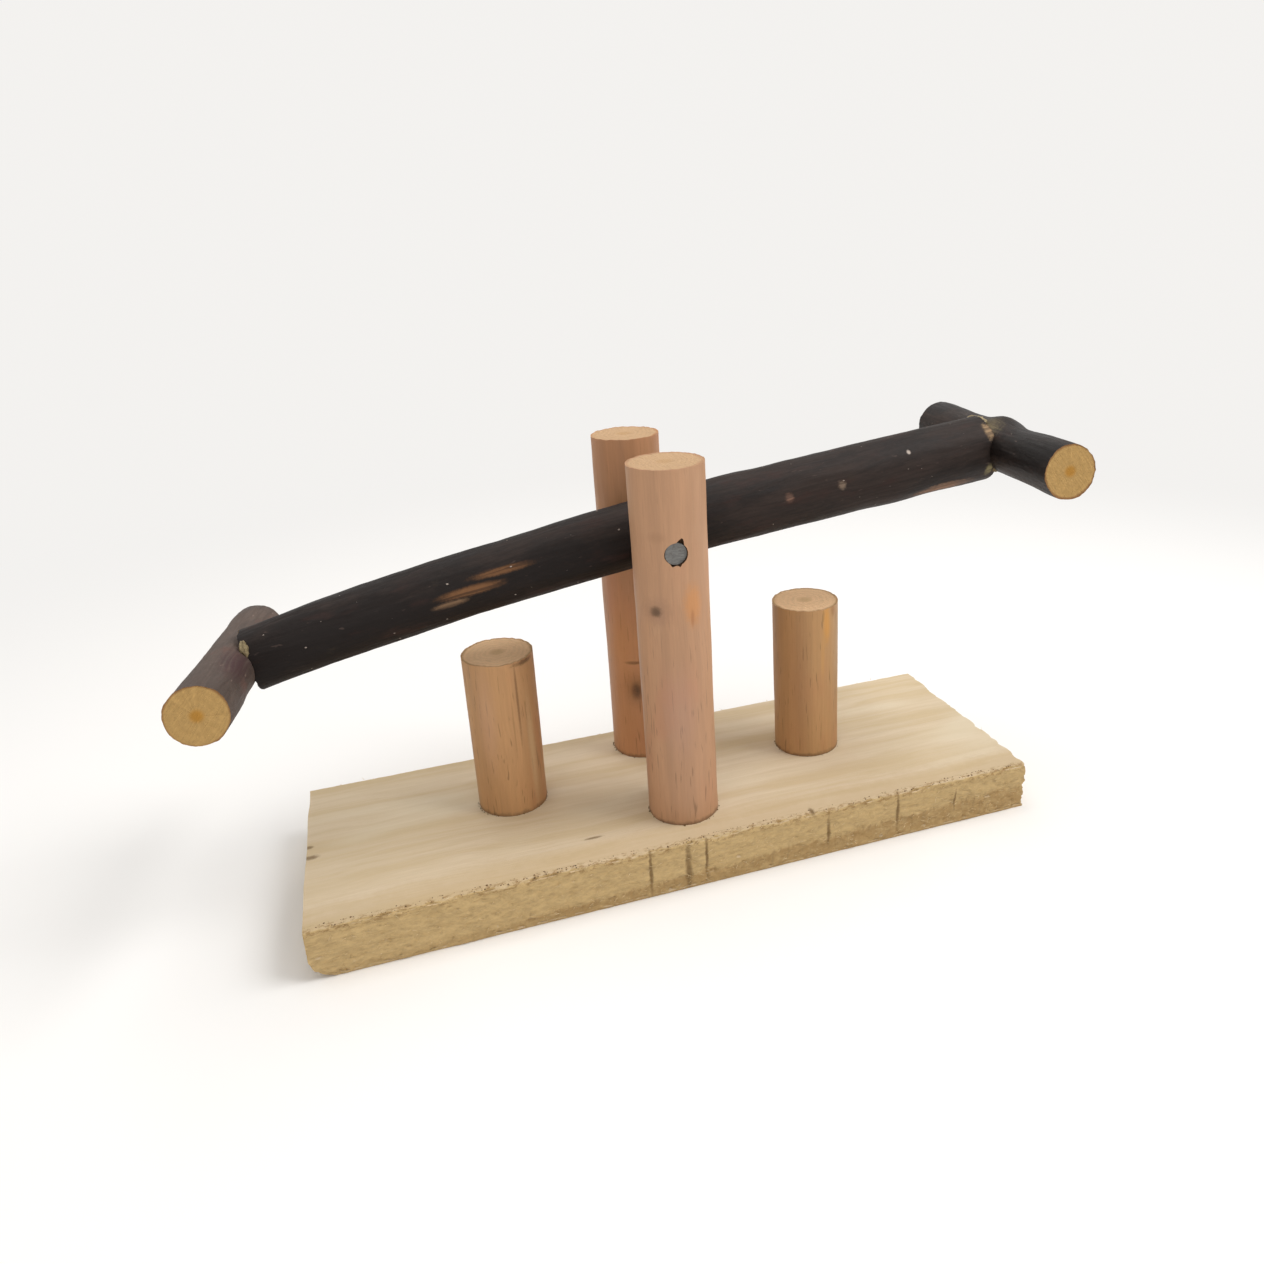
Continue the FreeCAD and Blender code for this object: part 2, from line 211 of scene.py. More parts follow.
def new_group(name, inputs, outputs):
    """A shader node group: inputs are (name, socket type, default), outputs (name, socket type)."""
    group = bpy.data.node_groups.new(name, "ShaderNodeTree")
    for label, kind, default in inputs:
        socket = group.interface.new_socket(label, in_out="INPUT", socket_type=f"NodeSocket{kind}")
        if default is not None:
            socket.default_value = default
    for label, kind in outputs:
        group.interface.new_socket(label, in_out="OUTPUT", socket_type=f"NodeSocket{kind}")
    source = group.nodes.new("NodeGroupInput").outputs
    sink = group.nodes.new("NodeGroupOutput").inputs
    return group, source, sink


def place_group(tree, group_name, inputs):
    """Places a node group in a material with its own values, and gives its outputs."""
    made = tree.nodes.new("ShaderNodeGroup")
    made.node_tree = bpy.data.node_groups[group_name]
    for key, value in inputs.items():
        if isinstance(value, bpy.types.NodeSocket):
            tree.links.new(value, made.inputs[key])
        else:
            made.inputs[key].default_value = value
    return made.outputs


# ---------------------------------------------------------------- shared shader groups, in millimetres

def make_grain_group():
    """Wood fibres along Z: fine streaks, broad bands and short dark pores."""
    group, source, sink = new_group("wood_grain", [
        ("Vector", "Vector", None), ("Fineness", "Float", 1.0), ("Waviness", "Float", 1.0),
    ], [("Streaks", "Float"), ("Bands", "Float"), ("Pores", "Float")])
    bend = cloud(group, scaled(group, source["Vector"], 0.05, 0.05, 0.02), 1.0, 2.0)
    shift = times(group, maths(group, "SUBTRACT", bend, 0.5), source["Waviness"])
    offset = add(group, "ShaderNodeCombineXYZ", {0: shift, 1: shift}).outputs[0]
    vector = vectors(group, "ADD", source["Vector"], resized(group, offset, 6.0))
    fine = resized(group, scaled(group, vector, 1.0, 1.0, 0.035), source["Fineness"])
    streaks = cloud(group, fine, 1.5, 6.0, 0.65)
    bands = cloud(group, scaled(group, vector, 0.13, 0.13, 0.006), 1.0, 3.0, 0.6)
    dashes = cloud(group, scaled(group, fine, 1.6, 1.6, 3.2), 1.0, 1.0, 0.4)
    group.links.new(ramp(group, streaks, 0.3, 0.7), sink["Streaks"])
    group.links.new(ramp(group, bands, 0.34, 0.66), sink["Bands"])
    group.links.new(ramp(group, dashes, 0.64, 0.74), sink["Pores"])


def make_mark_group():
    """A soft ragged oval at a place: a knot, a scar, a stain, a crack, or a patch of painted shade."""
    group, source, sink = new_group("wood_mark", [
        ("Vector", "Vector", None), ("Centre", "Vector", None), ("Size", "Vector", (1.0, 1.0, 1.0)),
        ("Softness", "Float", 0.4), ("Ragged", "Float", 0.3),
    ], [("Mask", "Float")])
    away = vectors(group, "DIVIDE", vectors(group, "SUBTRACT", source["Vector"], source["Centre"]),
                   source["Size"])
    tear = maths(group, "SUBTRACT", cloud(group, source["Vector"], 1.1, 4.0, 0.7), 0.5)
    ragged = times(group, tear, times(group, source["Ragged"], 2.0))
    distance = plus(group, vectors(group, "LENGTH", away), ragged)
    inner = maths(group, "SUBTRACT", 1.0, source["Softness"])
    outer = plus(group, 1.0, source["Softness"])
    group.links.new(ramp(group, distance, inner, outer, 1.0, 0.0), sink["Mask"])


def make_end_group():
    """A sawn end across Z: growth rings, pith, rim, slanted saw marks and specks."""
    group, source, sink = new_group("sawn_end", [
        ("Vector", "Vector", None), ("Radius", "Float", 10.0), ("Ring Width", "Float", 1.2),
        ("Saw Angle", "Float", 0.7),
    ], [("Rings", "Float"), ("Pith", "Float"), ("Rim", "Float"), ("Saw Marks", "Float"),
        ("Specks", "Float")])
    flat = scaled(group, source["Vector"], 1.0, 1.0, 0.0)
    warp = times(group, maths(group, "SUBTRACT", cloud(group, flat, 0.16, 3.0), 0.5), 4.0)
    radius = vectors(group, "LENGTH", flat)
    ring_at = maths(group, "DIVIDE", plus(group, radius, warp), source["Ring Width"])
    wave = maths(group, "SINE", times(group, ring_at, 6.283))
    rings = plus(group, 0.5, times(group, wave, 0.5))
    share = maths(group, "DIVIDE", plus(group, radius, times(group, warp, 0.15)), source["Radius"])
    turned = add(group, "ShaderNodeVectorRotate", {"Vector": flat, "Angle": source["Saw Angle"]},
                 rotation_type="Z_AXIS").outputs[0]
    marks = cloud(group, scaled(group, turned, 0.12, 2.2, 0.0), 1.0, 4.0, 0.6)
    specks = cloud(group, flat, 2.6, 2.0, 0.5)
    group.links.new(rings, sink["Rings"])
    group.links.new(ramp(group, share, 0.10, 0.30, 1.0, 0.0), sink["Pith"])
    group.links.new(ramp(group, share, 0.90, 1.0), sink["Rim"])
    group.links.new(ramp(group, marks, 0.35, 0.68), sink["Saw Marks"])
    group.links.new(ramp(group, specks, 0.66, 0.74), sink["Specks"])


def make_groups():
    make_grain_group()
    make_mark_group()
    make_end_group()


# ---------------------------------------------------------------- materials

def new_material(name):
    """A material whose Principled shader waits for its colour, roughness and height."""
    material = bpy.data.materials.new(name)
    material.use_nodes = True
    tree = material.node_tree
    tree.nodes.clear()
    shader = add(tree, "ShaderNodeBsdfPrincipled")
    sheet = add(tree, "ShaderNodeOutputMaterial", {"Surface": shader.outputs[0]})
    sheet.is_active_output = True
    return material, tree, shader


def finish_shader(tree, shader, base, roughness, height, distance, strength):
    """Feeds the Principled shader its colour, roughness and bump."""
    tree.links.new(base, shader.inputs["Base Color"])
    if isinstance(roughness, bpy.types.NodeSocket):
        tree.links.new(roughness, shader.inputs["Roughness"])
    else:
        shader.inputs["Roughness"].default_value = roughness
    bump = add(tree, "ShaderNodeBump", {"Strength": strength, "Distance": distance, "Height": height})
    tree.links.new(bump.outputs[0], shader.inputs["Normal"])


def local_millimetres(tree, place=(0, 0, 0), turn=(0, 0, 0)):
    """Object coordinates in millimetres, in a frame with its own origin and turn."""
    source = add(tree, "ShaderNodeTexCoord").outputs["Object"]
    moved = add(tree, "ShaderNodeMapping", {"Vector": source, "Location": tuple(place),
                                            "Rotation": tuple(turn)}, vector_type="TEXTURE")
    return resized(tree, moved.outputs[0], 1000.0)


def mark(tree, vector, centre, size, softness, ragged):
    """The mask of one knot, scar, crack or patch of painted shade, in millimetres."""
    return place_group(tree, "wood_mark", {"Vector": vector, "Centre": centre, "Size": size,
                                           "Softness": softness, "Ragged": ragged})["Mask"]


# Cracks, chips and a splinter on the plank: (place, half-size), in millimetres.
PLANK_MARKS = (
    ((-16.5, -38.8, 10.0), (0.45, 2.0, 8.5)),
    ((-4.6, -38.8, 7.0), (0.9, 2.0, 7.5)),
    ((1.3, -38.8, 10.0), (0.45, 2.2, 7.5)),
    ((42.3, -38.8, 8.0), (0.55, 2.0, 5.0)),
    ((66.8, -38.8, 10.0), (0.45, 2.0, 5.5)),
    ((88.0, -38.8, 9.0), (0.35, 2.0, 3.5)),
    ((36.9, -37.4, 16.4), (0.7, 1.8, 1.0)),
    ((-30.7, -25.2, 16.5), (2.6, 0.5, 1.0)),
    ((-113.4, -2.8, 16.5), (2.2, 1.0, 2.0)),
    ((-114.0, 3.0, 16.5), (1.2, 0.8, 2.0)),
)


def plank_material(settings):
    """Sawn plank: planed top with tan bands, rough yellow edges, olive bark stain low on the front."""
    material, tree, shader = new_material("sawn_plank")
    vector = local_millimetres(tree)
    lengthwise = add(tree, "ShaderNodeVectorRotate", {"Vector": vector, "Angle": math.pi / 2},
                     rotation_type="Y_AXIS").outputs[0]
    grain = place_group(tree, "wood_grain", {"Vector": lengthwise, "Fineness": 0.8, "Waviness": 1.4})
    face = mixed(tree, grain["Bands"], settings.face, settings.band)
    face = mixed(tree, times(tree, grain["Streaks"], 0.16), face, shaded(settings.band, 0.8))
    pale = cloud(tree, scaled(tree, vector, 0.012, 0.045, 0.0), 1.0, 2.0)
    face = mixed(tree, ramp(tree, pale, 0.5, 0.72, 0.0, 0.7), face, (0.72, 0.62, 0.46))
    grime = cloud(tree, scaled(tree, vector, 0.02, 0.25, 0.0), 1.0, 5.0, 0.7)
    face = mixed(tree, ramp(tree, grime, 0.60, 0.78, 0.0, 0.35), face, (0.42, 0.29, 0.15))

    parts = split(tree, vector)
    facing = split(tree, add(tree, "ShaderNodeNewGeometry").outputs["Normal"])
    torn = cloud(tree, scaled(tree, vector, 0.35, 0.35, 1.1), 1.0, 8.0, 0.72)
    speckle = cloud(tree, vector, 1.3, 5.0, 0.7)
    edge_dark, edge_light = shaded(settings.edge, 0.80), shaded(settings.edge, 1.12)
    edge = mixed(tree, ramp(tree, torn, 0.36, 0.62), edge_dark, edge_light)
    edge = mixed(tree, ramp(tree, speckle, 0.58, 0.72, 0.0, 0.55), edge, (0.33, 0.21, 0.09))
    edge = mixed(tree, ramp(tree, speckle, 0.42, 0.30, 0.0, 0.45), edge, (0.74, 0.60, 0.38))

    line = plus(tree, 5.2, times(tree, parts["X"], 0.031))
    teeth = cloud(tree, scaled(tree, vector, 0.8, 0.0, 0.10), 1.0, 4.0, 0.7)
    wander = cloud(tree, scaled(tree, vector, 0.055, 0.0, 0.0), 1.0, 2.0)
    line = plus(tree, line, times(tree, maths(tree, "SUBTRACT", teeth, 0.5), 6.0))
    line = plus(tree, line, times(tree, maths(tree, "SUBTRACT", wander, 0.5), 7.0))
    below = ramp(tree, maths(tree, "SUBTRACT", line, parts["Z"]), -0.5, 1.3)
    front = ramp(tree, facing["Y"], -0.35, -0.7)
    patchy = ramp(tree, cloud(tree, vector, 0.35, 5.0, 0.7), 0.34, 0.60, 0.35, 1.0)
    patchy = times(tree, patchy, ramp(tree, parts["X"], -105.0, -30.0, 0.25, 1.0))
    stain = times(tree, times(tree, below, front), patchy)
    dark_stain = mixed(tree, ramp(tree, teeth, 0.52, 0.68), settings.stain, shaded(settings.stain, 0.55))
    edge = mixed(tree, times(tree, stain, 0.92), edge, dark_stain)

    upright = maths(tree, "ABSOLUTE", facing["Z"])
    rough_side = ramp(tree, upright, 0.80, 0.45)
    base = mixed(tree, rough_side, face, edge)
    # Painted shade: the plank is darker towards the front, over the front of its top and its front face, with
    # a wavy edge.
    wavy = times(tree, cloud(tree, vector, 0.22, 4.0, 0.7), 9.0)
    darker_band = ramp(tree, plus(tree, parts["Y"], wavy), -18.0, -31.0)
    base = mixed(tree, times(tree, darker_band, 0.5), base, (0.47, 0.33, 0.165))
    arris = times(tree, ramp(tree, parts["Y"], -35.6, -37.6), ramp(tree, parts["Z"], 13.8, 15.4))
    bitten = cloud(tree, scaled(tree, vector, 0.5, 0.9, 0.9), 1.0, 4.0, 0.75)
    broken = times(tree, arris, ramp(tree, bitten, 0.48, 0.60))
    base = mixed(tree, times(tree, broken, 0.75), base, (0.30, 0.18, 0.07))
    cracks = None
    for centre, size in PLANK_MARKS:
        one = mark(tree, vector, centre, size, 0.6, 0.55)
        cracks = one if cracks is None else maths(tree, "MAXIMUM", cracks, one)
    base = mixed(tree, times(tree, cracks, 0.75), base, (0.17, 0.10, 0.04))
    height = plus(tree, times(tree, torn, rough_side), times(tree, grain["Streaks"], 0.18))
    height = maths(tree, "SUBTRACT", height, times(tree, cracks, 0.6))
    finish_shader(tree, shader, base, ramp(tree, torn, 0.3, 0.7, 0.74, 0.92), height, 0.35 * MM, 0.7)
    shader.inputs["Specular IOR Level"].default_value = 0.25
    return material


def peeled_material(name, tint, stick, marks, seed):
    """Peeled stick: fine fibres, tan and pink mottling, short pores, and knots where the stick has them."""
    material, tree, shader = new_material(name)
    vector = local_millimetres(tree, stick["start"], stick["turn"])
    strewn = vectors(tree, "ADD", vector, (seed * 37.0, seed * 11.0, seed * 53.0))
    grain = place_group(tree, "wood_grain", {"Vector": strewn, "Fineness": 1.1, "Waviness": 0.7})
    base = mixed(tree, grain["Bands"], shaded(tint, 0.88), shaded(tint, 1.08))
    base = mixed(tree, times(tree, grain["Streaks"], 0.30), base, shaded(tint, 0.74))
    blush = cloud(tree, scaled(tree, strewn, 0.07, 0.07, 0.028), 1.0, 3.0)
    base = mixed(tree, ramp(tree, blush, 0.52, 0.72, 0.0, 0.55), base, tinted(tint, 0.98, 0.84, 0.86))
    base = mixed(tree, ramp(tree, blush, 0.44, 0.28, 0.0, 0.45), base, tinted(tint, 1.05, 1.12, 1.15))
    height_up = split(tree, vector)["Z"]
    low_down = ramp(tree, height_up, 75.0, 40.0, 0.12, 0.62)
    base = mixed(tree, times(tree, grain["Pores"], low_down), base, shaded(tint, 0.42))
    height = times(tree, grain["Streaks"], 0.4)
    for centre, size, stain, depth, softness, ragged in marks:
        one = mark(tree, vector, centre, size, softness, ragged)
        base = mixed(tree, times(tree, one, depth), base, stain)
    # Darker at the foot, the lowest few millimetres, where the stick meets the plank.
    wavy = times(tree, cloud(tree, strewn, 0.5, 4.0, 0.7), 3.0)
    darker_band = ramp(tree, plus(tree, height_up, wavy), 3.2, 1.6)
    base = mixed(tree, times(tree, darker_band, 0.6), base, (0.12, 0.07, 0.035))
    roughness = ramp(tree, grain["Bands"], 0.0, 1.0, 0.50, 0.62)
    finish_shader(tree, shader, base, roughness, height, 0.10 * MM, 0.5)
    shader.inputs["Specular IOR Level"].default_value = 0.35
    return material


def end_material(name, stick, wood, pith, rim, ring_width, saw_angle, pith_strength):
    """A sawn end: rings, pith, slanted saw marks, specks and a darker rim."""
    material, tree, shader = new_material(name)
    vector = local_millimetres(tree, stick["start"], stick["turn"])
    end = place_group(tree, "sawn_end", {"Vector": vector, "Radius": stick["radius"] / MM,
                                         "Ring Width": ring_width, "Saw Angle": saw_angle})
    base = mixed(tree, times(tree, end["Rings"], 0.35), wood, shaded(wood, 0.80))
    base = mixed(tree, times(tree, end["Saw Marks"], 0.35), base, shaded(wood, 1.22))
    mottled = cloud(tree, vector, 0.4, 4.0, 0.65)
    base = mixed(tree, ramp(tree, mottled, 0.54, 0.74, 0.0, 0.4), base, shaded(wood, 0.72))
    base = mixed(tree, times(tree, end["Specks"], 0.6), base, shaded(wood, 0.36))
    base = mixed(tree, times(tree, end["Pith"], pith_strength), base, pith)
    base = mixed(tree, times(tree, end["Rim"], 0.85), base, rim)
    height = plus(tree, end["Saw Marks"], times(tree, end["Rings"], 0.4))
    finish_shader(tree, shader, base, 0.85, height, 0.22 * MM, 0.7)
    shader.inputs["Specular IOR Level"].default_value = 0.2
    return material


def bark_material(name, stick, dark, worn, bark_marks, seed, gloss, painted_sheen):
    """Smooth young bark: lengthwise wrinkles, worn patches, fine cross scratches, and listed marks, mostly
    scar marks, with one patch of painted shade on the left perch. The worn colour also spreads towards the
    far end as painted sheen.
    """
    material, tree, shader = new_material(name)
    vector = local_millimetres(tree, stick["start"], stick["turn"])
    strewn = vectors(tree, "ADD", vector, (seed * 29.0, seed * 17.0, seed * 41.0))
    parts = split(tree, vector)
    grain = place_group(tree, "wood_grain", {"Vector": strewn, "Fineness": 0.7, "Waviness": 1.2})
    patches = cloud(tree, scaled(tree, strewn, 0.09, 0.09, 0.03), 1.0, 6.0, 0.68)
    # Painted sheen: the worn colour spreads towards the stick's far end by the share painted_sheen, a painted
    # highlight where the light glances along the bark.
    along = ramp(tree, parts["Z"], 0.0, stick["length"] / MM, -0.16, 0.16)
    wear_and_sheen_mask = ramp(tree, plus(tree, patches, times(tree, along, painted_sheen)), 0.40, 0.66)
    base = mixed(tree, wear_and_sheen_mask, dark, worn)
    base = mixed(tree, times(tree, grain["Streaks"], 0.45), base, shaded(dark, 0.55))
    reddish = cloud(tree, scaled(tree, strewn, 0.2, 0.2, 0.06), 1.0, 4.0)
    base = mixed(tree, ramp(tree, reddish, 0.55, 0.74, 0.0, 0.55), base, tinted(worn, 1.05, 0.70, 0.66))
    greenish = cloud(tree, scaled(tree, strewn, 0.12, 0.12, 0.10), 1.0, 5.0, 0.7)
    base = mixed(tree, ramp(tree, greenish, 0.60, 0.76, 0.0, 0.40), base, tinted(worn, 1.10, 1.18, 0.85))
    scratch = cloud(tree, scaled(tree, strewn, 0.9, 0.9, 0.30), 1.0, 2.0, 0.4)
    base = mixed(tree, ramp(tree, scratch, 0.71, 0.77, 0.0, 0.55), base, shaded(worn, 2.2))
    pits = cloud(tree, scaled(tree, strewn, 0.8, 0.8, 0.45), 1.0, 5.0, 0.6)
    height = plus(tree, times(tree, grain["Streaks"], 0.55), times(tree, pits, 0.8))
    # The listed marks are mostly scar marks; the left perch's first one is painted shade. stain is each
    # mark's colour.
    for centre, size, stain, depth, softness, ragged in bark_marks:
        one = mark(tree, vector, centre, size, softness, ragged)
        fibres = ramp(tree, grain["Streaks"], 0.2, 0.8, 0.45, 1.0)
        one = times(tree, one, times(tree, fibres, depth))
        base = mixed(tree, one, base, stain)
        height = maths(tree, "SUBTRACT", height, times(tree, one, 0.5))
    pitted = plus(tree, patches, times(tree, pits, 0.3))
    roughness = ramp(tree, pitted, 0.4, 0.9, gloss, gloss + 0.22)
    finish_shader(tree, shader, base, roughness, height, 0.16 * MM, 0.6)
    shader.inputs["Specular IOR Level"].default_value = 0.17
    return material


def grain_material(name, light, dark, scale, roughness=0.9):
    """Loose matter: crumbs, fibres, glue, and also the painted shade in the dowels' holes: two tones and a
    rough surface.
    """
    material, tree, shader = new_material(name)
    vector = local_millimetres(tree)
    tone = cloud(tree, vector, scale, 4.0, 0.65)
    base = mixed(tree, ramp(tree, tone, 0.35, 0.65), dark, light)
    finish_shader(tree, shader, base, roughness, tone, 0.15 * MM, 0.5)
    shader.inputs["Specular IOR Level"].default_value = 0.2
    return material


def steel_material():
    """Dull cut steel: grey, brushed across, with a few darker spots."""
    material, tree, shader = new_material("dull_steel")
    vector = local_millimetres(tree)
    brushed = cloud(tree, scaled(tree, vector, 0.8, 0.8, 6.0), 1.0, 4.0, 0.6)
    spots = cloud(tree, vector, 0.9, 4.0, 0.6)
    base = mixed(tree, ramp(tree, brushed, 0.35, 0.7), (0.13, 0.128, 0.122), (0.21, 0.205, 0.195))
    base = mixed(tree, ramp(tree, spots, 0.56, 0.72, 0.0, 0.6), base, (0.10, 0.085, 0.07))
    finish_shader(tree, shader, base, ramp(tree, spots, 0.4, 0.7, 0.42, 0.62), brushed, 0.05 * MM, 0.4)
    shader.inputs["Metallic"].default_value = 0.55
    return material


# ---------------------------------------------------------------- measuring the frame's round sticks

def surface_samples(node):
    """A CAD node's vertices and triangles."""
    mesh = frame["nodes"][node].data
    corners = np.empty(len(mesh.vertices) * 3)
    mesh.vertices.foreach_get("co", corners)
    mesh.calc_loop_triangles()
    triangles = np.empty(len(mesh.loop_triangles) * 3, dtype=np.int32)
    mesh.loop_triangles.foreach_get("vertices", triangles)
    return corners.reshape(-1, 3), triangles.reshape(-1, 3)


def measure_stick(node, along_hint, up_hint):
    """Finds a stick's start, axes, length, bend and radius from its CAD node."""
    corners, triangles = surface_samples(node)
    a, b, c = (corners[triangles[:, index]] for index in range(3))
    areas = np.linalg.norm(np.cross(b - a, c - a), axis=1)
    middles = (a + b + c) / 3
    centre = np.average(middles, axis=0, weights=areas)
    spread = (middles - centre).T @ ((middles - centre) * areas[:, None])
    along = np.linalg.eigh(spread)[1][:, 2]
    along *= np.sign(along @ np.array(along_hint))
    side = np.cross(np.array(up_hint, float), along)
    side /= np.linalg.norm(side)
    up = np.cross(along, side)
    reach = (corners - centre) @ along
    low, high = reach.min(), reach.max()
    stations = np.linspace(low + 0.06 * (high - low), high - 0.06 * (high - low), 13)
    shares = (stations - low) / (high - low)
    rows = [section(corners, triangles, centre + along * station, along, side, up) for station in stations]
    side_offset, up_offset, radius = (np.polyfit(shares, column, 3) for column in zip(*rows))
    return {
        "start": Vector(centre + along * low), "along": Vector(along), "side": Vector(side),
        "up": Vector(up), "length": float(high - low), "side_offset": side_offset, "up_offset": up_offset,
        "radius_fit": radius, "radius": float(np.polyval(radius, 0.5)),
        "turn": Matrix((side, up, along)).transposed().to_euler(),
    }


def section(corners, triangles, point, along, side, up):
    """Where a plane across a stick cuts its surface: centre along side and up, and radius."""
    height = (corners - point) @ along
    found = []
    for first, second in ((0, 1), (1, 2), (2, 0)):
        one, two = triangles[:, first], triangles[:, second]
        crossing = (height[one] > 0) != (height[two] > 0)
        one, two = one[crossing], two[crossing]
        share = (height[one] / (height[one] - height[two]))[:, None]
        found.append(corners[one] + (corners[two] - corners[one]) * share)
    cut = np.concatenate(found) - point
    across, above = cut @ side, cut @ up
    radius = (across.max() - across.min() + above.max() - above.min()) / 4
    return (across.max() + across.min()) / 2, (above.max() + above.min()) / 2, radius


# ---------------------------------------------------------------- mesh helpers

def rough(position, scale, seed=0.0, octaves=4):
    """Fractal noise at a place, about -1 to 1, for features of the given size."""
    point = Vector(position) / scale + Vector((seed * 7.1, seed * 3.3, seed * 5.7))
    return noise.fractal(point, 0.9, 2.1, octaves)


def bell(distance):
    return math.exp(-distance * distance)


def mesh_object(name, vertices, faces, materials, indices=None, sharp=40.0):
    """A smooth-shaded object from vertices and faces, with sharp creases past an angle in degrees."""
    mesh = bpy.data.meshes.new(name)
    mesh.from_pydata([tuple(vertex) for vertex in vertices], [], faces)
    made = bpy.data.objects.new(name, mesh)
    bpy.context.scene.collection.objects.link(made)
    for material in materials:
        mesh.materials.append(material)
    if indices is not None:
        mesh.polygons.foreach_set("material_index", indices)
    solid = bmesh.new()
    solid.from_mesh(mesh)
    bmesh.ops.recalc_face_normals(solid, faces=solid.faces)
    solid.to_mesh(mesh)
    solid.free()
    mesh.polygons.foreach_set("use_smooth", [True] * len(mesh.polygons))
    mesh.set_sharp_from_angle(angle=math.radians(sharp))
    return made


# Shares of the way out from a cap's middle at which its rows of vertices lie.
CAP_STEPS = (0.985, 0.95, 0.88, 0.78, 0.66, 0.53, 0.40, 0.27, 0.14)


def close_rings(rings, cap_place):
    """Faces for a row of rings with closed ends; cap_place(spot, end) puts a cap's vertices."""
    count = len(rings[0])
    vertices = [place for ring in rings for place in ring]
    faces, indices = [], []
    for row in range(len(rings) - 1):
        first, second = row * count, (row + 1) * count
        for index in range(count):
            after = (index + 1) % count
            faces.append((first + index, first + after, second + after, second + index))
            indices.append(0)
    for end, edge in ((0, 0), (1, (len(rings) - 1) * count)):
        ring = rings[0] if end == 0 else rings[-1]
        middle = sum(ring, Vector()) / count
        previous = [edge + index for index in range(count)]
        for share in CAP_STEPS:
            base = len(vertices)
            for place in ring:
                spot = middle.lerp(place, share)
                vertices.append(cap_place(spot, end))
            current = [base + index for index in range(count)]
            for index in range(count):
                after = (index + 1) % count
                faces.append((previous[index], previous[after], current[after], current[index]))
                indices.append(end + 1)
            previous = current
        hub = len(vertices)
        vertices.append(cap_place(middle, end))
        for index in range(count):
            faces.append((previous[index], previous[(index + 1) % count], hub))
            indices.append(end + 1)
    return vertices, faces, indices


def stick_object(name, stick, materials, shape, spacing, turns, lip, saw, seed):
    """A natural stick along its measured line; shape(along, angle) adds to its radius, in metres."""
    steps = max(8, int(stick["length"] / spacing))
    rings = []
    for row in range(steps + 1):
        share = row / steps
        slope_side = np.polyval(np.polyder(stick["side_offset"]), share) / stick["length"]
        slope_up = np.polyval(np.polyder(stick["up_offset"]), share) / stick["length"]
        tangent = (stick["along"] + stick["side"] * slope_side + stick["up"] * slope_up).normalized()
        side = (stick["side"] - tangent * stick["side"].dot(tangent)).normalized()
        up = side.cross(tangent)
        up = up if up.dot(stick["up"]) > 0 else -up
        centre = (stick["start"] + stick["along"] * (stick["length"] * share)
                  + stick["side"] * float(np.polyval(stick["side_offset"], share))
                  + stick["up"] * float(np.polyval(stick["up_offset"], share)))
        radius = float(np.polyval(stick["radius_fit"], share))
        ring = []
        for index in range(turns):
            angle = 2 * math.pi * index / turns
            outward = side * math.cos(angle) + up * math.sin(angle)
            place = centre + outward * (radius + shape(share * stick["length"], angle))
            if row in (0, steps):
                place += tangent * (lip * rough(place, 1.6 * MM, seed))
            ring.append(place)
        rings.append(ring)

    def cap_place(spot, end):
        outward = stick["along"] * (1 if end else -1)
        bite = rough(spot, 4 * MM, seed + 2) + 0.5 * rough(spot, 1.2 * MM, seed)
        return spot - outward * (saw * abs(bite))

    vertices, faces, indices = close_rings(rings, cap_place)
    return mesh_object(name, vertices, faces, materials, [min(index, 1) for index in indices])


def baked(made):
    """Replaces an object's modifiers with the plain mesh they give."""
    graph = bpy.context.evaluated_depsgraph_get()
    mesh = bpy.data.meshes.new_from_object(made.evaluated_get(graph), preserve_all_data_layers=True,
                                           depsgraph=graph)
    made.modifiers.clear()
    old = made.data
    made.data = mesh
    mesh.name = made.name
    bpy.data.meshes.remove(old)


def bore(made, outline, start, direction, depth, material):
    """Cuts a prism out of a piece; the outline's (across, up) points turn about the start."""
    direction = Vector(direction).normalized()
    up = Vector((0, 0, 1))
    across = up.cross(direction).normalized() * -1
    near = [start + across * x + up * z for x, z in outline]
    far = [place + direction * depth for place in near]
    count = len(outline)
    faces = [tuple(range(count)), tuple(range(2 * count - 1, count - 1, -1))]
    faces += [(i, i + count, (i + 1) % count + count, (i + 1) % count) for i in range(count)]
    cutter = mesh_object("cutter", near + far, faces, [material])
    cut = made.modifiers.new("bore", "BOOLEAN")
    cut.operation = "DIFFERENCE"
    cut.solver = "EXACT"
    cut.object = cutter
    cut.material_mode = "TRANSFER"
    bpy.context.view_layer.update()
    baked(made)
    bpy.data.objects.remove(cutter)


def round_outline(radius, count=40, notches=()):
    """A circle's points; each notch is (angle, width, depth), a pointed bite out past the circle."""
    outline = []
    for index in range(count):
        angle = 2 * math.pi * index / count
        reach = radius
        for place, width, depth in notches:
            away = abs((angle - place + math.pi) % (2 * math.pi) - math.pi) / width
            reach += depth * max(0.0, 1.0 - away)
        outline.append((reach * math.cos(angle), reach * math.sin(angle)))
    return outline


# ---------------------------------------------------------------- the stand

# Cracks in the plank's front face: (along, half-width, middle height, half-height), in millimetres.
FRONT_CRACKS = ((-16.5, 0.45, 10, 8), (-4.6, 0.8, 7, 7), (1.3, 0.4, 10, 7), (42.3, 0.5, 8, 5),
                (66.8, 0.45, 11, 5))
CRACK_DEPTH = 0.55 * MM
# How far the rounded lower left edge reaches, and how far from each end the long faces are worn.
WANE = 8 * MM
LEFT_WEAR, RIGHT_WEAR = 12 * MM, 3 * MM


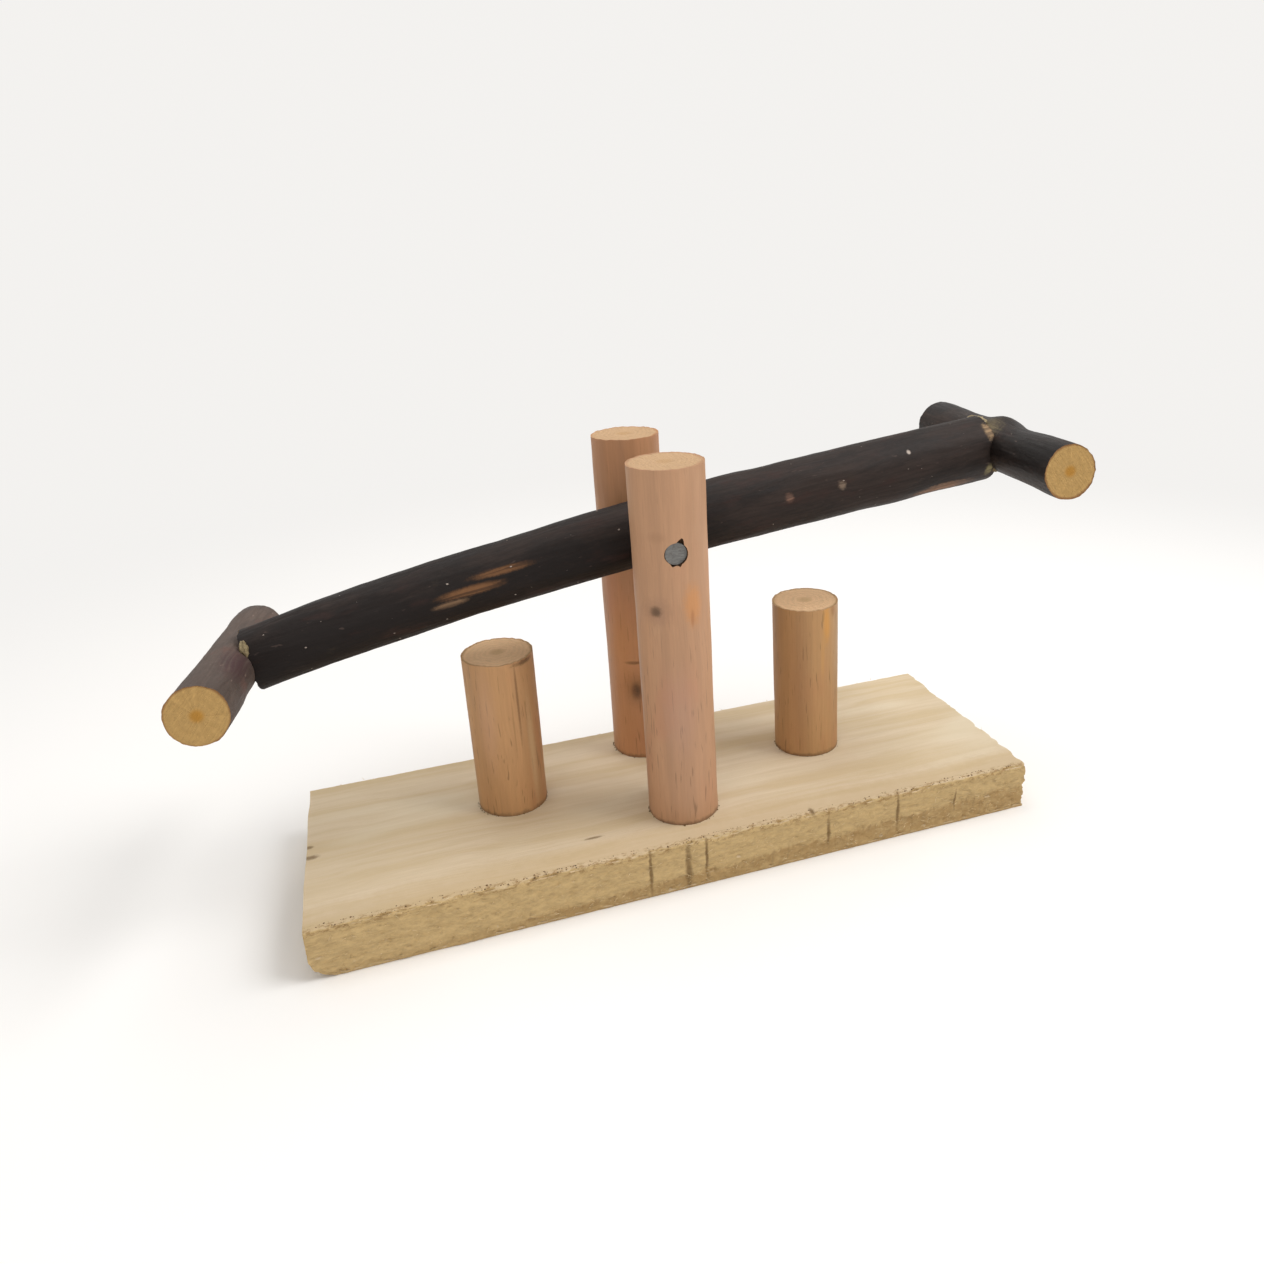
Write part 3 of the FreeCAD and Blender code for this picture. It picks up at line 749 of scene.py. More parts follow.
def sawn_front_depth(place, settings):
    """How far the rough front edge is torn back at a place, deeper below the bark line."""
    x, y, z = (part / MM for part in place)
    line = 5.2 + 0.031 * x + 1.6 * rough((x, 0, 0), 18.0, 3) + 1.0 * rough((x, 0, z), 1.6, 5)
    below = 1 / (1 + math.exp(-(line - z) * 2.2))
    torn = abs(rough((x * 0.5, 0, z), 1.5, 2)) + 0.6 * rough((x * 0.35, 0, z), 4.0, 7)
    crack = sum(bell((x - centre - 0.7 * rough((0, 0, z), 4.0, centre)) / width) * bell((z - middle) / tall)
                for centre, width, middle, tall in FRONT_CRACKS)
    splintered = 0.9 * below * (0.6 + 0.7 * abs(rough((x, 0, z), 1.1, 9)))
    return settings.rough * (torn + splintered) + CRACK_DEPTH * crack


def plank_profile(low, high, arris):
    """The plank's section round from the lower front: (place in y and z, outward direction)."""
    corners = ((low.y, low.z), (low.y, high.z), (high.y, high.z), (high.y, low.z), (low.y, low.z))
    profile = []
    for side, (normal, count) in enumerate((((-1, 0), 34), ((0, 1), 66), ((1, 0), 24), ((0, -1), 40))):
        begin, end, normal = Vector(corners[side]), Vector(corners[side + 1]), Vector(normal)
        along = (end - begin).normalized()
        for index in range(count):
            spot = (begin + along * arris).lerp(end - along * arris, index / (count - 1))
            profile.append((spot, normal))
        corner = end - along * arris - normal * arris
        for turn in (22.5, 45.0, 67.5):
            outward = normal * math.cos(math.radians(turn)) + along * math.sin(math.radians(turn))
            profile.append((corner + outward * arris, outward))
    return profile


def end_inset(spot, end, bottom):
    """How far a sawn end stands back at (y, z): a nibbled right end, a waned lower left edge."""
    if end:
        return 1.0 * MM * max(0.0, 0.3 + rough((0, spot.x, spot.y), 4.5 * MM, 13))
    height = min(1.0, max(0.0, (spot.y - bottom) / WANE))
    worn = WANE * (1 - math.sqrt(max(0.0, 1 - (1 - height) ** 2)))
    return worn + 0.6 * MM * (0.5 + 0.5 * rough((0, spot.x, spot.y * 0.5), 16 * MM, 15))


def make_plank_mesh(settings, material):
    """The plank's rings from left to right, closed by its two sawn ends."""
    low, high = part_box("base_board")
    profile = plank_profile(low, high, settings.arris)
    steps = int((high.x - low.x) / settings.step)
    rings = []
    for row in range(steps + 1):
        x = low.x + (high.x - low.x) * row / steps
        ring = []
        for spot, normal in profile:
            place = Vector((x, spot.x, spot.y))
            outward = Vector((0, normal.x, normal.y))
            front, back, top = max(0, -normal.x), max(0, normal.x), max(0, normal.y)
            depth = front * sawn_front_depth(place, settings)
            depth += back * 0.45 * MM * abs(rough(place, 7 * MM, 4))
            depth += top * (0.05 * MM * rough((x, spot.x * 4, 0), 40 * MM, 6)
                            + 0.02 * MM * rough((x * 0.3, spot.x * 3, 0), 1.2 * MM, 8))
            depth += front * top * 2.0 * MM * max(0, rough((x, 0, 0), 3 * MM, 12))
            near_left = max(0.0, 1 - (x - low.x) / LEFT_WEAR)
            near_right = max(0.0, 1 - (high.x - x) / RIGHT_WEAR)
            inset = near_left * end_inset(spot, 0, low.z) - near_right * end_inset(spot, 1, low.z)
            ring.append(place - outward * depth + Vector((inset, 0, 0)))
        rings.append(ring)

    def cap_place(spot, end):
        depth = end_inset(Vector((spot.y, spot.z)), end, low.z)
        depth += 0.25 * MM * abs(rough(spot, 3 * MM, 21)) + 0.2 * MM * abs(rough(spot, 0.9 * MM, 22))
        return Vector((high.x - depth if end else low.x + depth, spot.y, spot.z))

    vertices, faces, indices = close_rings(rings, cap_place)
    return mesh_object("plank_sawn", vertices, faces, [material], [0] * len(faces), 50.0)


POST_LOOKS = {
    # node: (colour setting, seed, flare at the top in mm, bumps as (height, angle, width, lift) in mm)
    "pivot_post_front": ("front", 1, 0.45, ((71.0, 3.75, 4.0, 0.5), (93.0, 3.8, 3.0, 0.25),
                                            (71.0, 4.9, 6.0, 0.2))),
    "pivot_post_rear": ("rear", 2, 0.0, ((33.0, 4.2, 6.0, 0.7), (26.0, 4.2, 4.0, -0.4))),
    "stop_post_left": ("left", 3, 0.15, ((20.0, 5.3, 9.0, 0.2),)),
    "stop_post_right": ("right", 4, 0.1, ((45.0, 5.0, 6.0, 0.2),)),
}

DARK_KNOT = (0.12, 0.065, 0.035)
ORANGE = (0.56, 0.25, 0.09)
# Knots, patches and splits: (place, half-size, colour, strength, softness, raggedness), in millimetres.
POST_MARKS = {
    "pivot_post_front": (
        ((-7.0, -8.0, 71.0), (3.6, 4.0, 3.8), (0.36, 0.20, 0.12), 0.65, 0.7, 0.5),
        ((-7.5, -8.0, 71.2), (1.3, 3.0, 1.5), DARK_KNOT, 0.9, 0.6, 0.5),
        ((2.9, -10.6, 72.5), (2.6, 4.0, 5.6), ORANGE, 0.75, 0.6, 0.5),
        ((2.6, -10.7, 68.5), (0.6, 2.0, 2.6), (0.36, 0.15, 0.06), 0.6, 0.6, 0.4),
        ((-6.2, -9.0, 93.6), (2.0, 3.0, 1.4), (0.40, 0.22, 0.12), 0.6, 0.7, 0.4),
        ((-9.0, -5.0, 84.0), (2.6, 4.0, 12.0), (0.46, 0.26, 0.15), 0.35, 0.8, 0.5),
        ((4.6, -9.4, 101.0), (0.35, 2.0, 7.0), (0.40, 0.23, 0.13), 0.5, 0.6, 0.6),
        ((-2.6, -10.6, 38.0), (4.0, 4.0, 12.0), (0.46, 0.27, 0.20), 0.35, 0.8, 0.5),
        ((5.0, -8.9, 94.0), (2.4, 3.0, 3.0), (0.46, 0.27, 0.16), 0.3, 0.7, 0.4),
    ),
    "pivot_post_rear": (
        ((-4.6, -9.9, 26.5), (3.4, 4.0, 5.6), (0.30, 0.15, 0.07), 0.8, 0.6, 0.5),
        ((-4.4, -10.0, 26.0), (1.5, 3.0, 2.8), (0.07, 0.04, 0.022), 0.85, 0.6, 0.5),
        ((-4.8, -9.8, 36.6), (2.6, 3.0, 0.55), (0.09, 0.045, 0.02), 0.9, 0.5, 0.35),
        ((-7.6, -7.8, 42.0), (5.0, 6.0, 13.0), (0.60, 0.27, 0.10), 0.5, 0.8, 0.5),
        ((-8.4, -6.4, 15.0), (5.0, 6.0, 12.0), (0.56, 0.27, 0.11), 0.4, 0.8, 0.5),
    ),
    "stop_post_left": (
        ((3.6, -10.3, 40.0), (0.35, 2.0, 12.0), (0.24, 0.12, 0.05), 0.8, 0.6, 0.5),
        ((1.6, -10.8, 30.0), (0.25, 2.0, 9.0), (0.30, 0.16, 0.07), 0.45, 0.6, 0.5),
        ((6.6, -8.0, 51.6), (4.4, 3.0, 0.8), (0.12, 0.06, 0.03), 0.8, 0.6, 0.9),
        ((-6.0, -8.6, 34.0), (2.4, 3.0, 14.0), (0.60, 0.35, 0.22), 0.4, 0.8, 0.4),
        ((6.8, -8.2, 20.0), (1.0, 3.0, 16.0), (0.60, 0.42, 0.23), 0.5, 0.7, 0.4),
    ),
    "stop_post_right": (
        ((2.9, -10.5, 49.0), (1.3, 2.4, 6.5), (0.58, 0.28, 0.07), 0.85, 0.6, 0.5),
        ((1.4, -10.8, 38.0), (0.7, 2.0, 8.0), (0.56, 0.30, 0.10), 0.5, 0.7, 0.5),
        ((-6.6, -8.6, 26.0), (3.2, 3.0, 22.0), (0.36, 0.18, 0.08), 0.55, 0.9, 0.4),
        ((5.8, -9.0, 52.6), (1.0, 3.0, 2.0), (0.30, 0.14, 0.05), 0.6, 0.6, 0.5),
    ),
}


def make_post(node, settings):
    """A peeled dowel in place of its plain CAD cylinder."""
    tint_name, seed, flare, bumps = POST_LOOKS[node]
    stick = measure_stick(node, (0, 0, 1), (0, 1, 0))
    name = node.replace("post", "dowel")
    tint = tuple(getattr(settings, tint_name))
    sides = peeled_material(f"{name}_peeled", tint, stick, POST_MARKS[node], seed)
    # The stops' tops lie in the branch's shade, so they are painted paler than the tall posts'.
    top_tone = 0.62 if node.startswith("pivot") else 1.0
    ends = end_material(f"{name}_end", stick, shaded(settings.end_grain, top_tone), (0.46, 0.27, 0.11),
                        shaded(tint, 0.9), 1.1 + 0.2 * seed, 0.5 + seed, 0.4)

    def shape(along, angle):
        height = along / MM
        across, above = math.cos(angle), math.sin(angle)
        added = settings.wobble * 0.8 * rough((across * 2, above * 2, height / 30), 1.6, seed)
        added += settings.wobble * 0.22 * rough((across * 11, above * 11, height / 9), 1.4, seed + 5)
        added += flare * MM * (along / stick["length"]) ** 2
        for place, heading, width, lift in bumps:
            turn = (angle - heading + math.pi) % (2 * math.pi) - math.pi
            added += lift * MM * bell(math.hypot(height - place, turn * stick["radius"] / MM) / width)
        return added

    made = stick_object(name, stick, [sides, ends], shape,
                        spacing=0.55 * MM, turns=120, lip=0.22 * MM, saw=0.16 * MM, seed=seed)
    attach(made, STAND)
    return made, stick


def tear_hole(made, stick, settings, front):
    """Bores a post for the pin and chips the wood round the pin's outer end; the cut walls are painted dark,
    as painted shade in the hole.
    """
    pin_low, pin_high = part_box("pivot_pin")
    radius = (pin_high.x - pin_low.x) / 2
    # Painted shade: the bore's walls and the chipped pockets round the pin are dark brown to near-black.
    painted_hole_shade = grain_material(f"{made.name}_hole", (0.16, 0.085, 0.045), (0.035, 0.02, 0.012), 0.8)
    centre = Vector((PIVOT.x, stick["start"].y, PIVOT.z))
    start = centre - Vector((0, stick["radius"] * 2, 0))
    bore(made, round_outline(radius + 0.05 * MM), start, (0, 1, 0), stick["radius"] * 4, painted_hole_shade)
    facing = -1 if front else 1
    surface = centre + Vector((0, facing * (stick["radius"] + 1 * MM), 0))
    notches = ((1.2, 0.36, 1.7 * MM), (4.35, 0.22, 0.6 * MM), (4.95, 0.18, 0.6 * MM), (3.4, 0.5, 0.1 * MM))
    bore(made, round_outline(radius + settings.hole_play * 0.4, 72, notches), surface,
         (0, -facing, 0), 2.6 * MM, painted_hole_shade)
    made.data.set_sharp_from_angle(angle=math.radians(40))


# ---------------------------------------------------------------- geometry nodes for grains and fibres

def new_tree(name, inputs):
    """A geometry node tree; inputs are (name, socket type)."""
    tree = bpy.data.node_groups.new(name, "GeometryNodeTree")
    tree.interface.new_socket("Geometry", in_out="INPUT", socket_type="NodeSocketGeometry")
    for label, kind in inputs:
        tree.interface.new_socket(label, in_out="INPUT", socket_type=f"NodeSocket{kind}")
    tree.interface.new_socket("Geometry", in_out="OUTPUT", socket_type="NodeSocketGeometry")
    return tree, tree.nodes.new("NodeGroupInput").outputs, tree.nodes.new("NodeGroupOutput").inputs


def run_tree(made, tree, values):
    """Runs a geometry node tree on an object with the named values, and keeps the plain mesh."""
    modifier = made.modifiers.new(tree.name, "NODES")
    modifier.node_group = tree
    for item in tree.interface.items_tree:
        if item.item_type == "SOCKET" and item.in_out == "INPUT" and item.name in values:
            modifier[item.identifier] = values[item.name]
    bpy.context.view_layer.update()
    baked(made)
    made.data.polygons.foreach_set("use_smooth", [True] * len(made.data.polygons))


def random_value(tree, kind, low, high, seed):
    made = tree.nodes.new("FunctionNodeRandomValue")
    made.data_type = kind
    slots = {"FLOAT_VECTOR": (0, 1), "FLOAT": (2, 3)}[kind]
    for index, value in zip(slots, (low, high)):
        if isinstance(value, bpy.types.NodeSocket):
            tree.links.new(value, made.inputs[index])
        else:
            made.inputs[index].default_value = value
    offset = add(tree, "ShaderNodeMath", {0: seed[0], 1: float(seed[1])}, operation="ADD").outputs[0]
    tree.links.new(offset, made.inputs["Seed"])
    return made.outputs[0 if kind == "FLOAT_VECTOR" else 1]


def strew(tree, sink, material, points, shape, turn, size):
    """Sets a shape on every point, makes plain mesh of them and gives it its material."""
    strewn = add(tree, "GeometryNodeInstanceOnPoints", {"Points": points, "Instance": shape,
                                                        "Rotation": turn, "Scale": size}).outputs[0]
    solid = add(tree, "GeometryNodeRealizeInstances", {"Geometry": strewn}).outputs[0]
    painted = add(tree, "GeometryNodeSetMaterial", {"Geometry": solid, "Material": material})
    tree.links.new(painted.outputs[0], sink["Geometry"])


def make_crumb_tree():
    """Strews lumpy grains along guide edges: inputs Spacing, Size, Spread, Seed, Material."""
    tree, source, sink = new_tree("strewn_crumbs", [
        ("Spacing", "Float"), ("Size", "Float"), ("Spread", "Float"), ("Seed", "Int"),
        ("Material", "Material"),
    ])
    curve = add(tree, "GeometryNodeMeshToCurve", {"Mesh": source["Geometry"]}).outputs[0]
    points = add(tree, "GeometryNodeCurveToPoints", {"Curve": curve, "Length": source["Spacing"]},
                 mode="LENGTH").outputs[0]
    spread = add(tree, "ShaderNodeCombineXYZ", {0: source["Spread"], 1: source["Spread"]}).outputs[0]
    back = add(tree, "ShaderNodeVectorMath", {0: spread, "Scale": -1.0}, operation="SCALE").outputs[0]
    shift = random_value(tree, "FLOAT_VECTOR", back, spread, (source["Seed"], 1))
    points = add(tree, "GeometryNodeSetPosition", {"Geometry": points, "Offset": shift}).outputs[0]
    grain = add(tree, "GeometryNodeMeshIcoSphere", {"Radius": 0.5, "Subdivisions": 1}).outputs[0]
    squash = random_value(tree, "FLOAT_VECTOR", (0.35, 0.35, 0.25), (1.0, 0.9, 0.6), (source["Seed"], 2))
    chance = random_value(tree, "FLOAT", 0.0, 1.0, (source["Seed"], 4))
    rare = add(tree, "ShaderNodeMath", {0: chance, 1: 3.0}, operation="POWER").outputs[0]
    largest = add(tree, "ShaderNodeMath", {0: rare, 1: source["Size"]}, operation="MULTIPLY").outputs[0]
    size = add(tree, "ShaderNodeVectorMath", {0: squash, "Scale": largest}, operation="SCALE").outputs[0]
    turn = random_value(tree, "FLOAT_VECTOR", (0.0, 0.0, 0.0), (0.8, 0.8, 6.283), (source["Seed"], 3))
    strew(tree, sink, source["Material"], points, grain, turn, size)
    return tree


def make_fibre_tree():
    """Stands slivers on guide faces, laid mostly along the guide.

    Inputs: Density, Length, Thickness, Lean, Seed, Material.
    """
    tree, source, sink = new_tree("torn_fibres", [
        ("Density", "Float"), ("Length", "Float"), ("Thickness", "Float"), ("Lean", "Vector"),
        ("Seed", "Int"), ("Material", "Material"),
    ])
    spread = add(tree, "GeometryNodeDistributePointsOnFaces",
                 {"Mesh": source["Geometry"], "Density": source["Density"], "Seed": source["Seed"]})
    scatter = random_value(tree, "FLOAT_VECTOR", (-0.7, -0.7, -0.7), (0.7, 0.7, 0.7), (source["Seed"], 1))
    flip = random_value(tree, "FLOAT", -1.0, 1.0, (source["Seed"], 5))
    sign = add(tree, "ShaderNodeMath", {0: flip}, operation="SIGN").outputs[0]
    lean = add(tree, "ShaderNodeVectorMath", {0: source["Lean"], "Scale": sign}, operation="SCALE").outputs[0]
    heading = add(tree, "ShaderNodeVectorMath", {0: lean, 1: scatter}, operation="ADD").outputs[0]
    outward = add(tree, "ShaderNodeVectorMath", {0: spread.outputs["Normal"], "Scale": 0.45},
                  operation="SCALE").outputs[0]
    heading = add(tree, "ShaderNodeVectorMath", {0: heading, 1: outward}, operation="ADD").outputs[0]
    turn = add(tree, "FunctionNodeAlignRotationToVector", {"Vector": heading}, axis="Z").outputs[0]
    sliver = add(tree, "GeometryNodeMeshCone", {"Vertices": 4, "Side Segments": 2, "Radius Top": 0.1,
                                                "Radius Bottom": 1.0, "Depth": 1.0}).outputs[0]
    chance = random_value(tree, "FLOAT", 0.12, 1.0, (source["Seed"], 2))
    rare = add(tree, "ShaderNodeMath", {0: chance, 1: 2.5}, operation="POWER").outputs[0]
    long = add(tree, "ShaderNodeMath", {0: rare, 1: source["Length"]}, operation="MULTIPLY").outputs[0]
    size = add(tree, "ShaderNodeCombineXYZ", {0: source["Thickness"], 1: source["Thickness"],
                                              2: long}).outputs[0]
    strew(tree, sink, source["Material"], spread.outputs["Points"], sliver, turn, size)
    return tree


def make_lenticel_tree():
    """Sets flat pale specks on bark: inputs Density, Size, Spacing, Seed, Material."""
    tree, source, sink = new_tree("bark_specks", [
        ("Density", "Float"), ("Size", "Float"), ("Spacing", "Float"), ("Seed", "Int"),
        ("Material", "Material"),
    ])
    spread = add(tree, "GeometryNodeDistributePointsOnFaces",
                 {"Mesh": source["Geometry"], "Distance Min": source["Spacing"],
                  "Density Max": source["Density"], "Seed": source["Seed"]}, distribute_method="POISSON")
    turn = add(tree, "FunctionNodeAlignRotationToVector", {"Vector": spread.outputs["Normal"]},
               axis="Z").outputs[0]
    grain = add(tree, "GeometryNodeMeshIcoSphere", {"Radius": 0.5, "Subdivisions": 1}).outputs[0]
    chance = random_value(tree, "FLOAT", 0.25, 1.0, (source["Seed"], 2))
    rare = add(tree, "ShaderNodeMath", {0: chance, 1: 2.5}, operation="POWER").outputs[0]
    across = add(tree, "ShaderNodeMath", {0: rare, 1: source["Size"]}, operation="MULTIPLY").outputs[0]
    long = add(tree, "ShaderNodeMath", {0: across, 1: 1.7}, operation="MULTIPLY").outputs[0]
    thin = add(tree, "ShaderNodeMath", {0: across, 1: 0.42}, operation="MULTIPLY").outputs[0]
    size = add(tree, "ShaderNodeCombineXYZ", {0: long, 1: across, 2: thin}).outputs[0]
    strew(tree, sink, source["Material"], spread.outputs["Points"], grain, turn, size)
    return tree


def guide_edges(name, lines):
    """An object of bare edges; each line is a list of places, closed if it ends where it began."""
    vertices, edges = [], []
    for line in lines:
        base = len(vertices)
        vertices += [tuple(place) for place in line]
        edges += [(base + index, base + index + 1) for index in range(len(line) - 1)]
    mesh = bpy.data.meshes.new(name)
    mesh.from_pydata(vertices, edges, [])
    made = bpy.data.objects.new(name, mesh)
    bpy.context.scene.collection.objects.link(made)
    return made


def arc(centre, radius, height, start, end):
    """A row of places round a centre at one height, between two angles."""
    return [Vector((centre.x + radius * math.cos(angle), centre.y + radius * math.sin(angle), height))
            for angle in np.linspace(start, end, 48)]


def guide_faces(name, corner, across, up, columns, rows):
    """A flat grid of guide faces from one corner."""
    vertices = [corner + across * (i / columns) + up * (j / rows)
                for j in range(rows + 1) for i in range(columns + 1)]
    wide = columns + 1
    faces = [(j * wide + i, j * wide + i + 1, (j + 1) * wide + i + 1, (j + 1) * wide + i)
             for j in range(rows) for i in range(columns)]
    mesh = bpy.data.meshes.new(name)
    mesh.from_pydata([tuple(place) for place in vertices], [], faces)
    made = bpy.data.objects.new(name, mesh)
    bpy.context.scene.collection.objects.link(made)
    return made


# ---------------------------------------------------------------- the rocking branch

def branch_shape(stick, settings, seed, bumps=(), lumps=1.0):
    """A bark surface: slow lumps, lengthwise ridges, and named bumps (along, angle, width, lift) in mm."""
    def shape(along, angle):
        far = along / MM
        round_x, round_y = math.cos(angle), math.sin(angle)
        added = -0.12 * MM + settings.wobble * lumps * rough((round_x * 2, round_y * 2, far / 22), 1.7, seed)
        added += settings.wobble * 0.22 * rough((round_x * 9, round_y * 9, far / 12), 1.5, seed + 3)
        added += settings.wobble * 0.10 * rough((round_x * 22, round_y * 22, far / 2.5), 1.2, seed + 6)
        for place, heading, width, lift in bumps:
            turn = (angle - heading + math.pi) % (2 * math.pi) - math.pi
            added += lift * MM * bell(math.hypot(far - place, turn * stick["radius"] / MM) / width)
        return added
    return shape


def to_local(stick, place_mm):
    """A place in the row frame, in millimetres, in a stick's own frame."""
    away = Vector(place_mm) * MM - stick["start"]
    return tuple(away.dot(stick[axis]) / MM for axis in ("side", "up", "along"))


def make_beam(settings):
    """The long branch: dark bark, sawn ends, scars and scratches."""
    stick = measure_stick("seesaw_beam", (1, 0, 0), (0, 0, 1))
    inner = tuple(settings.inner)
    bark_marks = (
        (to_local(stick, (-56.5, -6.8, 95.0)), (3.0, 1.3, 8.5), inner, 0.7, 0.5, 0.35),
        (to_local(stick, (-47.0, -5.8, 99.6)), (2.4, 1.0, 8.0), inner, 0.6, 0.5, 0.4),
        (to_local(stick, (-62.5, -6.3, 91.8)), (2.0, 0.9, 4.5), (0.34, 0.20, 0.11), 0.6, 0.5, 0.4),
        (to_local(stick, (100.5, -4.4, 105.4)), (3.4, 1.8, 9.0), (0.34, 0.18, 0.10), 0.75, 0.5, 0.6),
        (to_local(stick, (44.2, -7.1, 110.1)), (2.5, 1.3, 1.3), (0.24, 0.13, 0.09), 0.7, 0.5, 0.7),
        (to_local(stick, (62.5, -7.2, 112.0)), (2.5, 1.3, 1.2), (0.24, 0.17, 0.12), 0.7, 0.5, 0.7),
        (to_local(stick, (87.2, -5.1, 119.4)), (1.5, 0.6, 0.6), (0.50, 0.42, 0.36), 0.9, 0.5, 0.5),
        (to_local(stick, (117.0, -4.6, 123.0)), (3.0, 3.2, 1.3), (0.40, 0.26, 0.14), 0.8, 0.5, 0.9),
        (to_local(stick, (116.6, -6.6, 110.3)), (2.6, 2.2, 1.2), (0.30, 0.25, 0.12), 0.7, 0.5, 0.8),
    )
    # The last number is painted sheen: the branch is painted lighter towards its right end.
    bark = bark_material("branch_bark", stick, tuple(settings.bark), tuple(settings.bark_brown),
                         bark_marks, 1, 0.5, 0.5)
    ends = end_material("branch_end", stick, shaded(settings.cut, 0.8), tuple(settings.pith),
                        (0.07, 0.04, 0.025), 1.6, 0.8, 0.9)
    bumps = ((63.0, 3.5, 7.0, -0.35), (20.0, 0.6, 6.0, 0.5), (150.0, 1.2, 9.0, 0.45), (205.0, 4.6, 8.0, 0.4),
             (228.0, 3.3, 6.0, 0.35), (95.0, 1.8, 10.0, 0.3))
    made = stick_object("branch", stick, [bark, ends], branch_shape(stick, settings, 11, bumps),
                        spacing=0.7 * MM, turns=128, lip=0.5 * MM, saw=0.2 * MM, seed=11)
    pin_low, pin_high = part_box("pivot_pin")
    reach = stick["radius"] * 2
    bore(made, round_outline((pin_high.x - pin_low.x) / 2 + 0.06 * MM), PIVOT - Vector((0, reach, 0)),
         (0, 1, 0), reach * 2, ends)
    made.data.set_sharp_from_angle(angle=math.radians(40))
    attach(made, SEESAW)
    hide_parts("seesaw_beam")
    return made


def make_perch(side, settings):
    """A short stick with sawn ends, its bark and shape its own."""
    node = f"perch_{side}"
    stick = measure_stick(node, (0, 1, 0), (0, 0, 1))
    if side == "left":
        shades = (shaded(settings.grey, 0.62), tuple(settings.grey))
        # The first mark is painted shade: a dark purplish patch on the perch, in front of the branch's end
        # where the two meet.
        bark_marks = ((to_local(stick, (-119.5, -14.0, 88.0)), (4.5, 4.0, 11.0), (0.055, 0.026, 0.028),
                  0.8, 0.7, 0.4),
                 (to_local(stick, (-129.0, -34.0, 90.0)), (2.0, 2.0, 4.0), (0.06, 0.04, 0.04), 0.5, 0.7, 0.4))
        bumps = ((80.0, 1.2, 7.0, 0.35), (6.0, 2.4, 6.0, 0.3), (30.0, 4.0, 8.0, -0.25))
        seed, gloss, saw_angle, slot = 21, 0.55, 0.9, "grey_bark"
    else:
        shades = (shaded(settings.bark, 0.75), shaded(settings.bark_brown, 1.35))
        bark_marks = ((to_local(stick, (119.5, 2.0, 124.0)), (4.5, 4.0, 6.5), (0.26, 0.21, 0.12), 0.7, 0.6, 0.8),
                 (to_local(stick, (118.5, -36.0, 118.0)), (3.0, 3.0, 2.2), (0.35, 0.20, 0.10), 0.5, 0.6, 0.8))
        bumps = ((3.0, 4.6, 9.0, 0.55), (4.0, 1.0, 8.0, 0.3), (44.0, 1.9, 5.5, 1.5), (40.0, 2.6, 6.0, 0.9),
                 (28.0, 1.6, 9.0, -0.5), (62.0, 1.5, 8.0, -0.4), (82.0, 1.9, 6.0, 0.25))
        seed, gloss, saw_angle, slot = 31, 0.42, 2.2, "dark_bark"
    bark = bark_material(f"perch_{side}_bark", stick, *shades, bark_marks, seed, gloss, 0.1)
    ends = end_material(f"perch_{side}_end", stick, tuple(settings.cut), tuple(settings.pith),
                        (0.24, 0.11, 0.045), 2.0, saw_angle, 0.9)
    made = stick_object(f"{side}_perch", stick, [bark, ends],
                        branch_shape(stick, settings, seed, bumps, 0.8),
                        spacing=0.6 * MM, turns=112, lip=0.3 * MM, saw=0.2 * MM, seed=seed)
    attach(made, SEESAW)
    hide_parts(node)
    return made


def lump(name, centre, size, material, seed):
    """A small lumpy mass: a rounded ball pushed about by noise."""
    ball = bmesh.new()
    bmesh.ops.create_icosphere(ball, subdivisions=4, radius=1.0)
    for vertex in ball.verts:
        swell = 1 + 0.28 * rough(vertex.co, 0.9, seed) + 0.12 * rough(vertex.co, 0.3, seed + 1)
        vertex.co = Vector((a * b * swell for a, b in zip(vertex.co, size))) + Vector(centre)
    mesh = bpy.data.meshes.new(name)
    ball.to_mesh(mesh)
    ball.free()
    mesh.materials.append(material)
    mesh.polygons.foreach_set("use_smooth", [True] * len(mesh.polygons))
    made = bpy.data.objects.new(name, mesh)
    bpy.context.scene.collection.objects.link(made)
    return made


# ---------------------------------------------------------------- operators

class SEESAW_OT_plank(bpy.types.Operator):
    """Makes the sawn plank"""
    bl_idname = "seesaw.plank"
    bl_label = "Plank"

    def execute(self, context):
        settings = context.scene.seesaw_plank
        made = make_plank_mesh(settings, plank_material(settings))
        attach(made, STAND)
        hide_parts("base_board")
        return {"FINISHED"}


class SEESAW_OT_dowels(bpy.types.Operator):
    """Makes the two tall posts and the two stops"""
    bl_idname = "seesaw.dowels"
    bl_label = "Dowels"

    def execute(self, context):
        settings = context.scene.seesaw_dowels
        for node in POST_LOOKS:
            made, stick = make_post(node, settings)
            if node.startswith("pivot"):
                tear_hole(made, stick, settings, node.endswith("front"))
            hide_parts(node)
        return {"FINISHED"}


